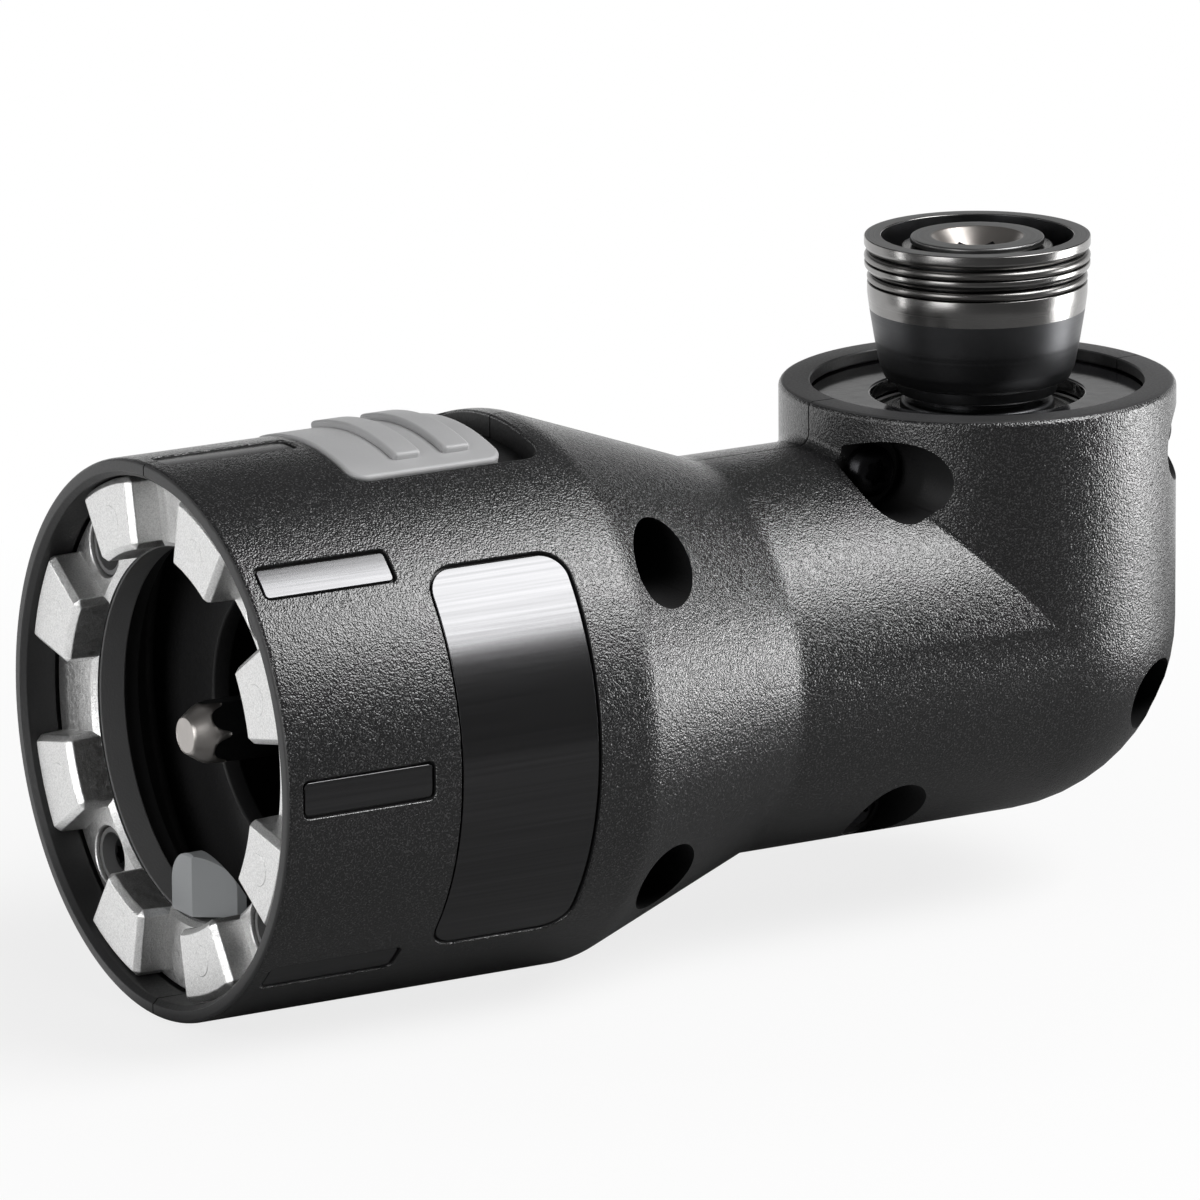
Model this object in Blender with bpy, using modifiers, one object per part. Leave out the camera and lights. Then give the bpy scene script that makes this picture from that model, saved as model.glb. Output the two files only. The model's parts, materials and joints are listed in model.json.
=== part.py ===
"""Right angle attachment for a cordless screwdriver.

The drive axis is X and the opening faces -X, with its rim in the plane x = 0.
The output axis is parallel to Z, a reach of OUTPUT_X away, and points up.
Angles round the sleeve are measured from the top (+Z) towards the right side (-Y).
"""

import math

import bmesh
import bpy
from mathutils import Matrix, Vector

MM = 0.001

# Fits between neighbouring pieces
GAP = 0.3 * MM
SLIDE_GAP = 0.4 * MM
INLAY_GAP = 0.25 * MM
GEAR_CLEAR = 1.2 * MM
SHOULDER_CLEAR = 0.9 * MM
CORE_CLEAR = 0.6 * MM

# How far a cutter runs past the face it cuts, and the least step between two faces
OVERCUT = 1.0 * MM
STEP_OFF = 0.1 * MM

# Facets of turned shapes, and the share of a facet by which cutters are turned so
# that their edges don't fall on those of the solid they cut
HOUSING_STEPS = 36
RING_STEPS = 32
PART_STEPS = 24
SMALL_STEPS = 16
BOSS_STEPS = 12
SCREW_STEPS = 10
CUT_PHASE = 0.3

# Sleeve, cone and neck of the housing
SLEEVE_R = 30.0 * MM
SLEEVE_LENGTH = 44.2 * MM
SHOULDER_ROUND = 7.0 * MM
RIM_ROUND = 0.5 * MM
CONE_LENGTH = 23.2 * MM
NECK_R = 21.7 * MM
NECK_WALL = 3.3 * MM
RIM_WALL = 1.9 * MM
CHAMBER_WALL = 2.0 * MM
NOSE_CHAMBER_WALL = 4.4 * MM
PARTITION = 2.2 * MM

# Head
OUTPUT_X = 103.5 * MM
HEAD_R = 21.6 * MM
HEAD_TOP_Z = 26.4 * MM
HEAD_ROUND = 0.7 * MM
HEAD_LIP_R = 18.25 * MM
ELBOW_BLEND = 3.0 * MM
ELBOW_DIP = 0.4 * MM

# Toothed ring in the mouth
RING_FACE_X = 0.8 * MM
RING_FIT = 0.2 * MM
RING_BAND = 7.8 * MM
RING_OUT_R = SLEEVE_R - RIM_WALL - RING_FIT
RING_IN_R = RING_OUT_R - RING_BAND
RING_LIP = 0.7 * MM
RING_BASE = 2.2 * MM
RING_FLANGE = 0.55 * MM
RING_TEETH = 8
TOOTH_HEIGHT = 3.5 * MM
TOOTH_BEVEL = 0.45 * MM
RING_HOLE_R = 3.25 * MM

# Guide collar behind the toothed ring, and the throat behind it
GUIDE_STEP = 0.1 * MM
GUIDE_BORE_R = RING_IN_R - GUIDE_STEP
THROAT_STEP = 5.5 * MM
THROAT_R = GUIDE_BORE_R - THROAT_STEP
GUIDE_LIP = 1.0 * MM
GUIDE_FLANGE = 1.4 * MM

# Screws of the toothed ring
RING_SCREW_CIRCLE_R = (RING_IN_R + RING_OUT_R) / 2
RING_SCREW_ANGLES = (45.0, 135.0, 225.0, 315.0)
RING_SCREW_HEAD_R = 2.15 * MM
RING_SCREW_HEAD = 0.9 * MM
RING_SCREW_R = 1.1 * MM
RING_SCREW_GRIP = 6.0 * MM
PILLAR_R = 2.3 * MM

# Release latch: button, bar, yoke and hook
RELEASE_TRAVEL = 4.2 * MM
YOKE = 1.8 * MM
HOOK_X = 4.5 * MM
HOOK_LENGTH = 6.7 * MM
HOOK_REACH = 7.1 * MM
HOOK_TIP_R = GUIDE_BORE_R - HOOK_REACH
HOOK_WIDTH = 7.0 * MM
HOOK_ROUND = 1.6 * MM
HOOK_ROOT_IN = 2.0 * MM
HOOK_ROOT_OUT = 1.2 * MM
BAR_WIDTH = 7.2 * MM
BAR_DEPTH = 5.2 * MM
BAR = 3.0 * MM
BAR_HIGH_Z = SLEEVE_R - BAR_DEPTH
BAR_LOW_Z = BAR_HIGH_Z - BAR
BAR_END_X = 33.0 * MM
BUTTON_X = 19.0 * MM
BUTTON_LENGTH = 18.4 * MM
BUTTON_HALF_ANGLE = 21.5
BUTTON_CORNER = 2.0 * MM
BUTTON_PLATE = 2.3 * MM
BUTTON_PROUD = 0.2 * MM
RIB_STARTS = (25.0 * MM, 31.0 * MM)
RIB_WIDTH = 3.2 * MM
RIB_PROUD = 0.75 * MM
RIB_HALF_ANGLE = 17.2
STEM_X = 24.5 * MM
STEM_LENGTH = 7.0 * MM
STEM_WIDTH = 4.0 * MM
LATCH_PIN_R = 0.8 * MM
LATCH_PIN = 5.0 * MM
LATCH_COIL_R = 1.5 * MM
LATCH_WIRE_R = 0.3 * MM
LATCH_TURNS = 4

# Bare plate and trim strips let into the sleeve
INLAY_DEPTH = 0.25 * MM
PLATE_THICK = 0.4 * MM
PLATE_X = 21.0 * MM
PLATE_LENGTH = 16.4 * MM
PLATE_HALF_ANGLE = 42.5
PLATE_CORNER = 3.0 * MM
STRIP_X = 2.1 * MM
STRIP_LENGTH = 15.2 * MM
STRIP_HALF_ANGLE = 3.4
STRIP_THICK = 0.25 * MM
STRIPS = 8

# Housing screws, with their places from the axes and the outside
SCREW_HEAD_R = 3.2 * MM
SCREW_HEAD = 2.2 * MM
SCREW_R = 1.5 * MM
SCREW_REACH = 6.0 * MM
SCREW_SEAT_Y = -5.5 * MM
POCKET_R = 4.2 * MM
POCKET_WALL = 1.7 * MM
SHOULDER_SCREW_X = 50.0 * MM
SHOULDER_SCREW_INSET = 12.9 * MM
NECK_SCREW_X = 83.1 * MM
NECK_SCREW_INSET = 4.8 * MM
HEAD_SCREW_OFFSET = 18.0 * MM
HEAD_SCREW_INSET = 6.8 * MM
ELBOW_SCREW_OFFSET = 12.3 * MM
ELBOW_SCREW_Z = -7.4 * MM

# Proportions of every screw head: flat top and hexagon over its radius, straight edge
# and hexagon's depth over its height
SCREW_CROWN = 0.65
SCREW_HEX = 0.8
SCREW_EDGE = 0.5
SCREW_HEX_DEPTH = 0.55

# Drive shaft
HEX_FLATS = 6.35 * MM
SHAFT_TIP_X = 4.4 * MM
SHAFT_TIP_R = 2.05 * MM
SHAFT_CONE = 3.8 * MM
DRIVE_BEARING_BORE_R = 4.0 * MM
DRIVE_BEARING_SECTION = 7.0 * MM
DRIVE_BEARING_OUTER_R = DRIVE_BEARING_BORE_R + DRIVE_BEARING_SECTION
DRIVE_BEARING_WIDTH = 7.0 * MM
FRONT_BUSH_WALL = 3.5 * MM
FRONT_BUSH_OUTER_R = DRIVE_BEARING_BORE_R + FRONT_BUSH_WALL
FRONT_BUSH_WIDTH = 8.0 * MM
FRONT_BUSH_X = 53.5 * MM
BEARING_LIP = 1.5 * MM
FRONT_LIP_R = 6.0 * MM
BEARING_LIP_R = 9.0 * MM
SHAFT_SHOULDER_R = 5.3 * MM

# Bevel gears, a pair of equal ones
GEAR_PITCH_R = 11.0 * MM
GEAR_TEETH = 16
GEAR_FACE = 5.0 * MM
GEAR_ADDENDUM = 1.1 * MM
GEAR_DEDENDUM = 1.35 * MM
GEAR_BACKLASH = 0.32 * MM
PRESSURE_ANGLE = 20.0
GEAR_HUB = 3.7 * MM
GEAR_HUB_R = 8.0 * MM
PINION_HUB_R = 6.8 * MM
GEAR_HUB_START = 0.62

# Spindle and its bearings
SPINDLE_CORE_R = 5.0 * MM
OUTPUT_BEARING_BORE_R = 8.5 * MM
OUTPUT_BEARING_SECTION = 4.5 * MM
OUTPUT_BEARING_OUTER_R = OUTPUT_BEARING_BORE_R + OUTPUT_BEARING_SECTION
OUTPUT_BEARING_WIDTH = 5.0 * MM
OUTPUT_SHOULDER_R = 9.2 * MM
OUTPUT_SHOULDER = 3.0 * MM
FOOT_BUSH_BORE_R = 4.0 * MM
FOOT_BUSH_WALL = 2.5 * MM
FOOT_BUSH_OUTER_R = FOOT_BUSH_BORE_R + FOOT_BUSH_WALL
FOOT_BUSH_WIDTH = 5.0 * MM
FOOT_BUSH_Z = -12.5 * MM
SPINDLE_NECK_R = 8.45 * MM
SPINDLE_NECK = 1.7 * MM
SPINDLE_STEM_R = 6.6 * MM
SPINDLE_TOP_Z = 42.3 * MM
SPINDLE_HEAD_R = 7.5 * MM
SPINDLE_HEAD = 0.7 * MM
BIT_HEX_FLATS = 6.4 * MM
BIT_DEPTH = 18.0 * MM
MOUTH_R = 5.4 * MM
MOUTH_DEPTH = 1.8 * MM

# Head cover
COVER_TOP_Z = 25.3 * MM
COVER_THICK = 0.8 * MM
COVER_EDGE = 0.45 * MM
COVER_HOLE_R = 11.65 * MM

# Locking collar with its rings, spring, washer and balls
COLLAR_TOP_Z = 42.45 * MM
COLLAR_LENGTH = 17.15 * MM
COLLAR_R = 12.33 * MM
COLLAR_BAND_R = 12.0 * MM
COLLAR_WAIST_R = 11.6 * MM
COLLAR_FOOT_R = 8.7 * MM
COLLAR_EDGE = 0.15 * MM
COLLAR_MOUTH_R = 10.47 * MM
COLLAR_TRAVEL = 3.5 * MM
COLLAR_LAND = 4.6 * MM
COLLAR_RELIEF = 2.1 * MM
COLLAR_RELIEF_R = 7.6 * MM
GRIP_DROPS = (2.25 * MM, 4.5 * MM)
GRIP_WIRE_R = 0.5 * MM
GRIP_CIRCLE_R = 11.75 * MM
BAND_DROP = 8.65 * MM
TAPER_DROPS = (11.45 * MM, 14.25 * MM, 15.75 * MM)
TAPER_RADII = (11.25 * MM, 10.67 * MM, 10.06 * MM)
WASHER_R = 8.27 * MM
WASHER = 0.7 * MM
COLLAR_COIL_R = 7.75 * MM
COLLAR_WIRE_R = 0.45 * MM
COLLAR_TURNS = 4
BALL_R = 1.9 * MM

# Inside proportions of a ball bearing
BALL_FILL = 0.25
RACE_LIP = 0.6
CAGE_HALF = 0.35
CAGE_LENGTH = 0.7
REAR_BALLS = 7
OUTPUT_BALLS = 11

# Derived stations along the drive axis
RING_FLOOR_X = RING_FACE_X + TOOTH_HEIGHT
RING_BACK_X = RING_FLOOR_X + RING_BASE
GUIDE_FRONT_X = RING_FLOOR_X + RING_LIP + GAP
FLANGE_X = RING_BACK_X + GAP
FLANGE_BACK_X = FLANGE_X + GUIDE_FLANGE
GROOVE_BACK_X = FLANGE_BACK_X + GAP
YOKE_X = FLANGE_BACK_X + SLIDE_GAP
YOKE_BACK_X = YOKE_X + YOKE
PARTITION_X = max(HOOK_X + HOOK_LENGTH, YOKE_BACK_X) + RELEASE_TRAVEL + SLIDE_GAP
PARTITION_BACK_X = PARTITION_X + PARTITION
BULKHEAD_X = SHOULDER_SCREW_X - POCKET_R - POCKET_WALL
CONE_END_X = SLEEVE_LENGTH + CONE_LENGTH
BUTTON_END_X = BUTTON_X + BUTTON_LENGTH
FRONT_POCKET_X = FRONT_BUSH_X - FRONT_BUSH_WIDTH / 2 - GAP
FRONT_POCKET_END_X = FRONT_BUSH_X + FRONT_BUSH_WIDTH / 2 + GAP
NECK_CHAMBER_X = FRONT_POCKET_END_X + BEARING_LIP
NECK_BULKHEAD_X = NECK_SCREW_X - POCKET_R - POCKET_WALL

# Derived stations along the output axis, and of the gears from their common apex
PITCH_ANGLE = math.pi / 4
GEAR_HEEL = GEAR_PITCH_R / math.sin(PITCH_ANGLE)
GEAR_TOE = GEAR_HEEL - GEAR_FACE
GEAR_BACK = GEAR_PITCH_R + GEAR_HUB
GEAR_ROOM_R = GEAR_PITCH_R + GEAR_ADDENDUM + GEAR_CLEAR
GEAR_ROOM = GEAR_TOE * math.cos(PITCH_ANGLE + math.atan(GEAR_ADDENDUM / GEAR_HEEL)) - GEAR_CLEAR
GEAR_FRONT = GEAR_PITCH_R + GEAR_DEDENDUM + GEAR_CLEAR
REAR_BEARING_X = OUTPUT_X - GEAR_BACK - GAP - DRIVE_BEARING_WIDTH / 2
REAR_POCKET_X = REAR_BEARING_X - DRIVE_BEARING_WIDTH / 2 - GAP
REAR_POCKET_END_X = REAR_BEARING_X + DRIVE_BEARING_WIDTH / 2 + GAP
SHOULDER_Z = GEAR_BACK + GAP
OUTPUT_BEARING_LOW_Z = SHOULDER_Z + OUTPUT_SHOULDER
OUTPUT_BEARING_Z = OUTPUT_BEARING_LOW_Z + OUTPUT_BEARING_WIDTH / 2
OUTPUT_BEARING_TOP_Z = OUTPUT_BEARING_LOW_Z + OUTPUT_BEARING_WIDTH
OUTPUT_LEDGE_Z = OUTPUT_BEARING_LOW_Z - GAP
FOOT_LOW_Z = FOOT_BUSH_Z - FOOT_BUSH_WIDTH / 2
FOOT_TOP_Z = FOOT_BUSH_Z + FOOT_BUSH_WIDTH / 2
COVER_LOW_Z = COVER_TOP_Z - COVER_THICK
COVER_SEAT_Z = COVER_LOW_Z - GAP
COVER_R = HEAD_LIP_R + COVER_EDGE
NECK_TOP_Z = OUTPUT_BEARING_TOP_Z + GAP + SPINDLE_NECK
COLLAR_LOW_Z = COLLAR_TOP_Z - COLLAR_LENGTH
RELIEF_TOP_Z = COLLAR_LOW_Z + COLLAR_RELIEF
COLLAR_SHELF_Z = RELIEF_TOP_Z + COLLAR_LAND
WASHER_TOP_Z = SPINDLE_TOP_Z - SPINDLE_HEAD - GAP
WASHER_LOW_Z = WASHER_TOP_Z - WASHER
BALL_Z = RELIEF_TOP_Z + COLLAR_TRAVEL - COLLAR_RELIEF + SLIDE_GAP
BALL_CENTRE_R = SPINDLE_STEM_R - BALL_R

# Derived radii
RIM_BORE_R = SLEEVE_R - RIM_WALL
RING_FLANGE_R = RING_OUT_R + RING_FLANGE
GROOVE_R = RING_FLANGE_R + INLAY_GAP
YOKE_ROOM_R = SLEEVE_R - CHAMBER_WALL
YOKE_OUT_R = YOKE_ROOM_R - SLIDE_GAP
YOKE_IN_R = GUIDE_BORE_R + SLIDE_GAP
NOSE_ROOM_R = SLEEVE_R - NOSE_CHAMBER_WALL
POCKET_FLOOR_R = SLEEVE_R + BUTTON_PROUD - BUTTON_PLATE - SLIDE_GAP
HEAD_SCREW_Z = HEAD_TOP_Z - HEAD_SCREW_INSET
NECK_SCREW_Z = -(NECK_R - NECK_SCREW_INSET)
SHOULDER_SCREW_Z = SLEEVE_R - SHOULDER_SCREW_INSET

# Housing screws as (name, x, z)
HOUSING_SCREWS = (
    ("shoulder_screw_upper", SHOULDER_SCREW_X, SHOULDER_SCREW_Z),
    ("shoulder_screw_lower", SHOULDER_SCREW_X, -SHOULDER_SCREW_Z),
    ("neck_screw", NECK_SCREW_X, NECK_SCREW_Z),
    ("head_screw_front", OUTPUT_X - HEAD_SCREW_OFFSET, HEAD_SCREW_Z),
    ("head_screw_rear", OUTPUT_X + HEAD_SCREW_OFFSET, HEAD_SCREW_Z),
    ("elbow_screw", OUTPUT_X + ELBOW_SCREW_OFFSET, ELBOW_SCREW_Z),
)

# Local Z of a turned piece, laid along each world axis
AXIS_TURNS = {"X": (0.0, math.pi / 2, 0.0), "-X": (0.0, -math.pi / 2, 0.0),
              "Y": (-math.pi / 2, 0.0, 0.0), "Z": (0.0, 0.0, 0.0)}


def clear_scene():
    """Remove what the opened file holds."""
    for obj in list(bpy.data.objects):
        bpy.data.objects.remove(obj, do_unlink=True)
    for collection in list(bpy.data.collections):
        bpy.data.collections.remove(collection)


def new_collection(name):
    """Make a collection under the scene's own."""
    collection = bpy.data.collections.new(name)
    bpy.context.scene.collection.children.link(collection)
    return collection


clear_scene()
PARTS = new_collection("angle_attachment")
CUTTERS = new_collection("cutters")


def finish(name, colour, roughness, metallic):
    """Principled material with one colour, roughness and metallic value."""
    material = bpy.data.materials.new(name)
    material.use_nodes = True
    shader = material.node_tree.nodes["Principled BSDF"]
    shader.inputs["Base Color"].default_value = (*colour, 1.0)
    shader.inputs["Roughness"].default_value = roughness
    shader.inputs["Metallic"].default_value = metallic
    return material


def add_object(name, mesh, collection=None):
    """Link a new object to the cutters, or to the collection that is given."""
    obj = bpy.data.objects.new(name, mesh)
    (collection or CUTTERS).objects.link(obj)
    return obj


def mesh_from(name, bm):
    """Turn a bmesh into an object with its faces pointing out."""
    bmesh.ops.recalc_face_normals(bm, faces=bm.faces[:])
    mesh = bpy.data.meshes.new(name)
    bm.to_mesh(mesh)
    bm.free()
    return add_object(name, mesh)


def as_cutter(obj):
    """Keep a tool object out of renders."""
    obj.hide_render = True
    obj.display_type = "WIRE"
    return obj


def boolean(target, tool, operation):
    """Add an exact Boolean with the tool object."""
    modifier = target.modifiers.new(tool.name, "BOOLEAN")
    modifier.operation = operation
    modifier.solver = "EXACT"
    modifier.object = as_cutter(tool)


def cut(target, *tools):
    """Cut the tools from the target."""
    for tool in tools:
        boolean(target, tool, "DIFFERENCE")


def join(target, *tools):
    """Join the tools to the target."""
    for tool in tools:
        boolean(target, tool, "UNION")


def bevel(obj, width, angle=40.0, segments=1):
    """Bevel the edges that are sharper than an angle in degrees."""
    modifier = obj.modifiers.new("edge", "BEVEL")
    modifier.width = width
    modifier.segments = segments
    modifier.limit_method = "ANGLE"
    modifier.angle_limit = math.radians(angle)


def signed_area(points):
    """Twice the area that the points enclose, positive when they run anticlockwise."""
    following = points[1:] + points[:1]
    return sum(a[0] * b[1] - b[0] * a[1] for a, b in zip(points, following))


def turned(name, profile, axis="Z", at=(0.0, 0.0, 0.0), steps=PART_STEPS, phase=0.0):
    """Turn a profile of (station, radius) points; it closes on the axis or on itself."""
    start = 2 * math.pi * phase / steps
    points = [(radius, station) for station, radius in profile]
    if signed_area(points) > 0:
        points.reverse()
    on_axis = points[0][0] == 0.0 or points[-1][0] == 0.0
    bm = bmesh.new()
    verts = [bm.verts.new((radius * math.cos(start), radius * math.sin(start), station))
             for radius, station in points]
    for a, b in zip(verts, verts[1:]):
        bm.edges.new((a, b))
    if not on_axis:
        bm.edges.new((verts[-1], verts[0]))
    mesh = bpy.data.meshes.new(name)
    bm.to_mesh(mesh)
    bm.free()
    obj = add_object(name, mesh)
    obj.location = at
    obj.rotation_euler = AXIS_TURNS[axis]
    screw = obj.modifiers.new("turn", "SCREW")
    screw.steps = steps
    screw.render_steps = steps
    screw.use_merge_vertices = True
    screw.merge_threshold = 0.00001
    return obj


def cylinder(name, radius, start, end, axis="Z", at=(0.0, 0.0, 0.0), steps=SMALL_STEPS, phase=0.0):
    """Plain cylinder from one station to another along an axis."""
    profile = [(start, 0.0), (start, radius), (end, radius), (end, 0.0)]
    return turned(name, profile, axis, at, steps, phase)


def drill(name, radius, start, end, axis="Z", at=(0.0, 0.0, 0.0), steps=SMALL_STEPS):
    """Cylinder for cutting a hole."""
    return cylinder(name, radius, start, end, axis, at, steps, CUT_PHASE)


def box(name, low, high):
    """Box between two corners."""
    bm = bmesh.new()
    size = [b - a for a, b in zip(low, high)]
    centre = [(a + b) / 2 for a, b in zip(low, high)]
    bmesh.ops.create_cube(bm, size=1.0)
    bmesh.ops.scale(bm, vec=size, verts=bm.verts)
    bmesh.ops.translate(bm, vec=centre, verts=bm.verts)
    return mesh_from(name, bm)


def hex_bar(name, flats, start, end, axis="Z", at=(0.0, 0.0, 0.0)):
    """Hexagonal bar, measured across its flats, with corners at +Y and -Y."""
    bm = bmesh.new()
    radius = flats / math.sqrt(3.0)
    bmesh.ops.create_cone(bm, cap_ends=True, segments=6, radius1=radius, radius2=radius,
                          depth=end - start)
    bmesh.ops.translate(bm, vec=(0.0, 0.0, (start + end) / 2), verts=bm.verts)
    obj = mesh_from(name, bm)
    obj.location = at
    obj.rotation_euler = AXIS_TURNS[axis]
    return obj


def round_the_sleeve(x, angle, radius):
    """Point at an angle in degrees from the top towards the right side."""
    turn = math.radians(angle)
    return Vector((x, -radius * math.sin(turn), radius * math.cos(turn)))


def wrapped(name, middle, half_angle, x_span, r_span, corner=0.0, columns=1, grow=0.0):
    """Plate bent round the drive axis, in flat columns, with rounded corners.

    The outline grows by grow on every side, which leaves a clearance round a plate
    when the same outline cuts its recess.
    """
    inner, outer = r_span
    half = half_angle + math.degrees(grow / outer)
    start, end = x_span[0] - grow, x_span[1] + grow
    radius = corner + grow if corner else 0.0
    edge = math.degrees(radius / outer)
    span = half - edge
    stations = [middle - span + 2 * span * i / columns for i in range(columns + 1)]
    if corner:
        stations = [middle - half] + stations + [middle + half]

    def flat(a, b, share, x):
        """Point on the flat column between two stations."""
        first = round_the_sleeve(x, a, outer)
        return first.lerp(round_the_sleeve(x, b, outer), share)

    bm = bmesh.new()
    steps = 4
    for number, (a, b) in enumerate(zip(stations, stations[1:])):
        if corner and number in (0, len(stations) - 2):
            turns = [math.pi / 2 * i / steps for i in range(steps + 1)]
            near = [(1 - math.sin(t), radius * (1 - math.cos(t))) for t in turns]
            outline = [(share, start + dx) for share, dx in near]
            outline += [(share, end - dx) for share, dx in reversed(near)]
            if number:
                outline = [(1 - share, x) for share, x in reversed(outline)]
        else:
            outline = [(1.0, start), (0.0, start), (0.0, end), (1.0, end)]
        bm.faces.new([bm.verts.new(flat(a, b, share, x)) for share, x in outline])
    bmesh.ops.remove_doubles(bm, verts=bm.verts, dist=0.000001)
    made = bmesh.ops.extrude_face_region(bm, geom=bm.faces[:], use_keep_orig=True)
    depth = Matrix.Diagonal((1.0, inner / outer, inner / outer, 1.0))
    lower = [item for item in made["geom"] if isinstance(item, bmesh.types.BMVert)]
    bmesh.ops.transform(bm, matrix=depth, verts=lower)
    return mesh_from(name, bm)


def coil(name, radius, wire, start, end, turns, axis, at, points_per_turn=8):
    """Helical spring of round wire between two stations, made a mesh."""
    curve = bpy.data.curves.new(name, "CURVE")
    curve.dimensions = "3D"
    curve.bevel_depth = wire
    curve.bevel_resolution = 2
    curve.use_fill_caps = True
    spline = curve.splines.new("POLY")
    count = turns * points_per_turn
    spline.points.add(count)
    low, high = start + wire, end - wire
    for number, point in enumerate(spline.points):
        turn = 2 * math.pi * number / points_per_turn
        height = low + (high - low) * number / count
        point.co = (radius * math.cos(turn), radius * math.sin(turn), height, 1.0)
    wire_object = add_object(name + "_wire", curve)
    mesh = bpy.data.meshes.new_from_object(
        wire_object.evaluated_get(bpy.context.evaluated_depsgraph_get()))
    bpy.data.objects.remove(wire_object, do_unlink=True)
    bm = bmesh.new()
    bm.from_mesh(mesh)
    bmesh.ops.remove_doubles(bm, verts=bm.verts, dist=0.000001)
    obj = mesh_from(name, bm)
    obj.location = at
    obj.rotation_euler = AXIS_TURNS[axis]
    return obj


def keep(obj, name, material):
    """Make an object a finished part: named, coloured and shaded."""
    obj.name = name
    obj.data.name = name
    CUTTERS.objects.unlink(obj)
    PARTS.objects.link(obj)
    obj.data.materials.clear()
    obj.data.materials.append(material)
    obj.data.shade_smooth()
    obj.data.set_sharp_from_angle(angle=math.radians(35.0))
    return obj


def applied(obj, name):
    """Plain mesh object with an object's modified shape; the object and its tools go."""
    bpy.context.view_layer.update()
    depsgraph = bpy.context.evaluated_depsgraph_get()
    mesh = bpy.data.meshes.new_from_object(obj.evaluated_get(depsgraph))
    mesh.transform(obj.matrix_world)
    for modifier in list(obj.modifiers):
        if modifier.type == "BOOLEAN":
            bpy.data.objects.remove(modifier.object, do_unlink=True)
    bpy.data.objects.remove(obj, do_unlink=True)
    return add_object(name, mesh)


def arc(centre, radius, start, end, count):
    """Points (station, radius) on an arc, by angle in degrees from the station axis."""
    turns = [math.radians(start + (end - start) * i / count) for i in range(count + 1)]
    return [(centre[0] + radius * math.cos(t), centre[1] + radius * math.sin(t)) for t in turns]


def at_screw_circle(angle):
    """Place of a ring screw's axis in the mouth plane."""
    return round_the_sleeve(0.0, angle, RING_SCREW_CIRCLE_R)


def housing_outside():
    """Sleeve, cone and neck turned about the drive axis, and the head about its own."""
    cone_tilt = math.degrees(math.atan2(SLEEVE_R - NECK_R, CONE_LENGTH))
    setback = SHOULDER_ROUND * math.tan(math.radians(cone_tilt / 2))
    centre = (SLEEVE_LENGTH - setback, SLEEVE_R - SHOULDER_ROUND)
    rim = (RIM_ROUND, SLEEVE_R - RIM_ROUND)
    profile = [(0.0, 0.0)]
    profile += arc(rim, RIM_ROUND, 180.0, 90.0, 2)
    profile += arc(centre, SHOULDER_ROUND, 90.0, 90.0 - cone_tilt, 3)
    profile += [
        (CONE_END_X, NECK_R),
        (OUTPUT_X, NECK_R),
        (OUTPUT_X + ELBOW_BLEND, NECK_R - ELBOW_DIP),
        (OUTPUT_X + ELBOW_BLEND, 0.0),
    ]
    body = turned("sleeve_and_neck", profile, "X", steps=HOUSING_STEPS, phase=CUT_PHASE)
    ball = [(HEAD_R * math.sin(math.radians(a)), HEAD_R * math.cos(math.radians(a)))
            for a in (-90.0, -75.0, -60.0, -45.0, -30.0, -15.0, 0.0)]
    ball[0] = (-HEAD_R, 0.0)
    top = (HEAD_TOP_Z - HEAD_ROUND, HEAD_R - HEAD_ROUND)
    profile = ball + arc(top, HEAD_ROUND, 90.0, 0.0, 2) + [(HEAD_TOP_Z, 0.0)]
    head = turned("head", profile, "Z", (OUTPUT_X, 0.0, 0.0), HOUSING_STEPS, CUT_PHASE)
    join(body, head)
    return body


def drive_cavity():
    """Everything hollow about the drive axis, as one turned cutter."""
    profile = [
        (-OVERCUT, 0.0),
        (-OVERCUT, RIM_BORE_R),
        (RING_FLOOR_X - GAP, RIM_BORE_R),
        (RING_FLOOR_X - GAP, GROOVE_R),
        (GROOVE_BACK_X, GROOVE_R),
        (GROOVE_BACK_X, YOKE_ROOM_R),
        (PARTITION_X, YOKE_ROOM_R),
        (PARTITION_X, THROAT_R),
        (PARTITION_BACK_X, THROAT_R),
        (PARTITION_BACK_X, NOSE_ROOM_R),
        (BULKHEAD_X, NOSE_ROOM_R),
        (BULKHEAD_X, FRONT_LIP_R),
        (FRONT_POCKET_X, FRONT_LIP_R),
        (FRONT_POCKET_X, FRONT_BUSH_OUTER_R + GAP),
        (FRONT_POCKET_END_X, FRONT_BUSH_OUTER_R + GAP),
        (FRONT_POCKET_END_X, FRONT_LIP_R),
        (NECK_CHAMBER_X, FRONT_LIP_R),
        (NECK_CHAMBER_X, NECK_R - NECK_WALL),
        (NECK_BULKHEAD_X, NECK_R - NECK_WALL),
        (NECK_BULKHEAD_X, BEARING_LIP_R),
        (REAR_POCKET_X, BEARING_LIP_R),
        (REAR_POCKET_X, DRIVE_BEARING_OUTER_R + GAP),
        (REAR_POCKET_END_X, DRIVE_BEARING_OUTER_R + GAP),
        (REAR_POCKET_END_X, BEARING_LIP_R),
        (OUTPUT_X - GEAR_FRONT, BEARING_LIP_R),
        (OUTPUT_X - GEAR_FRONT, GEAR_ROOM_R),
        (OUTPUT_X - GEAR_ROOM, GEAR_ROOM_R),
        (OUTPUT_X - GEAR_ROOM, 0.0),
    ]
    return turned("drive_cavity", profile, "X", steps=HOUSING_STEPS, phase=0.5)


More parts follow.
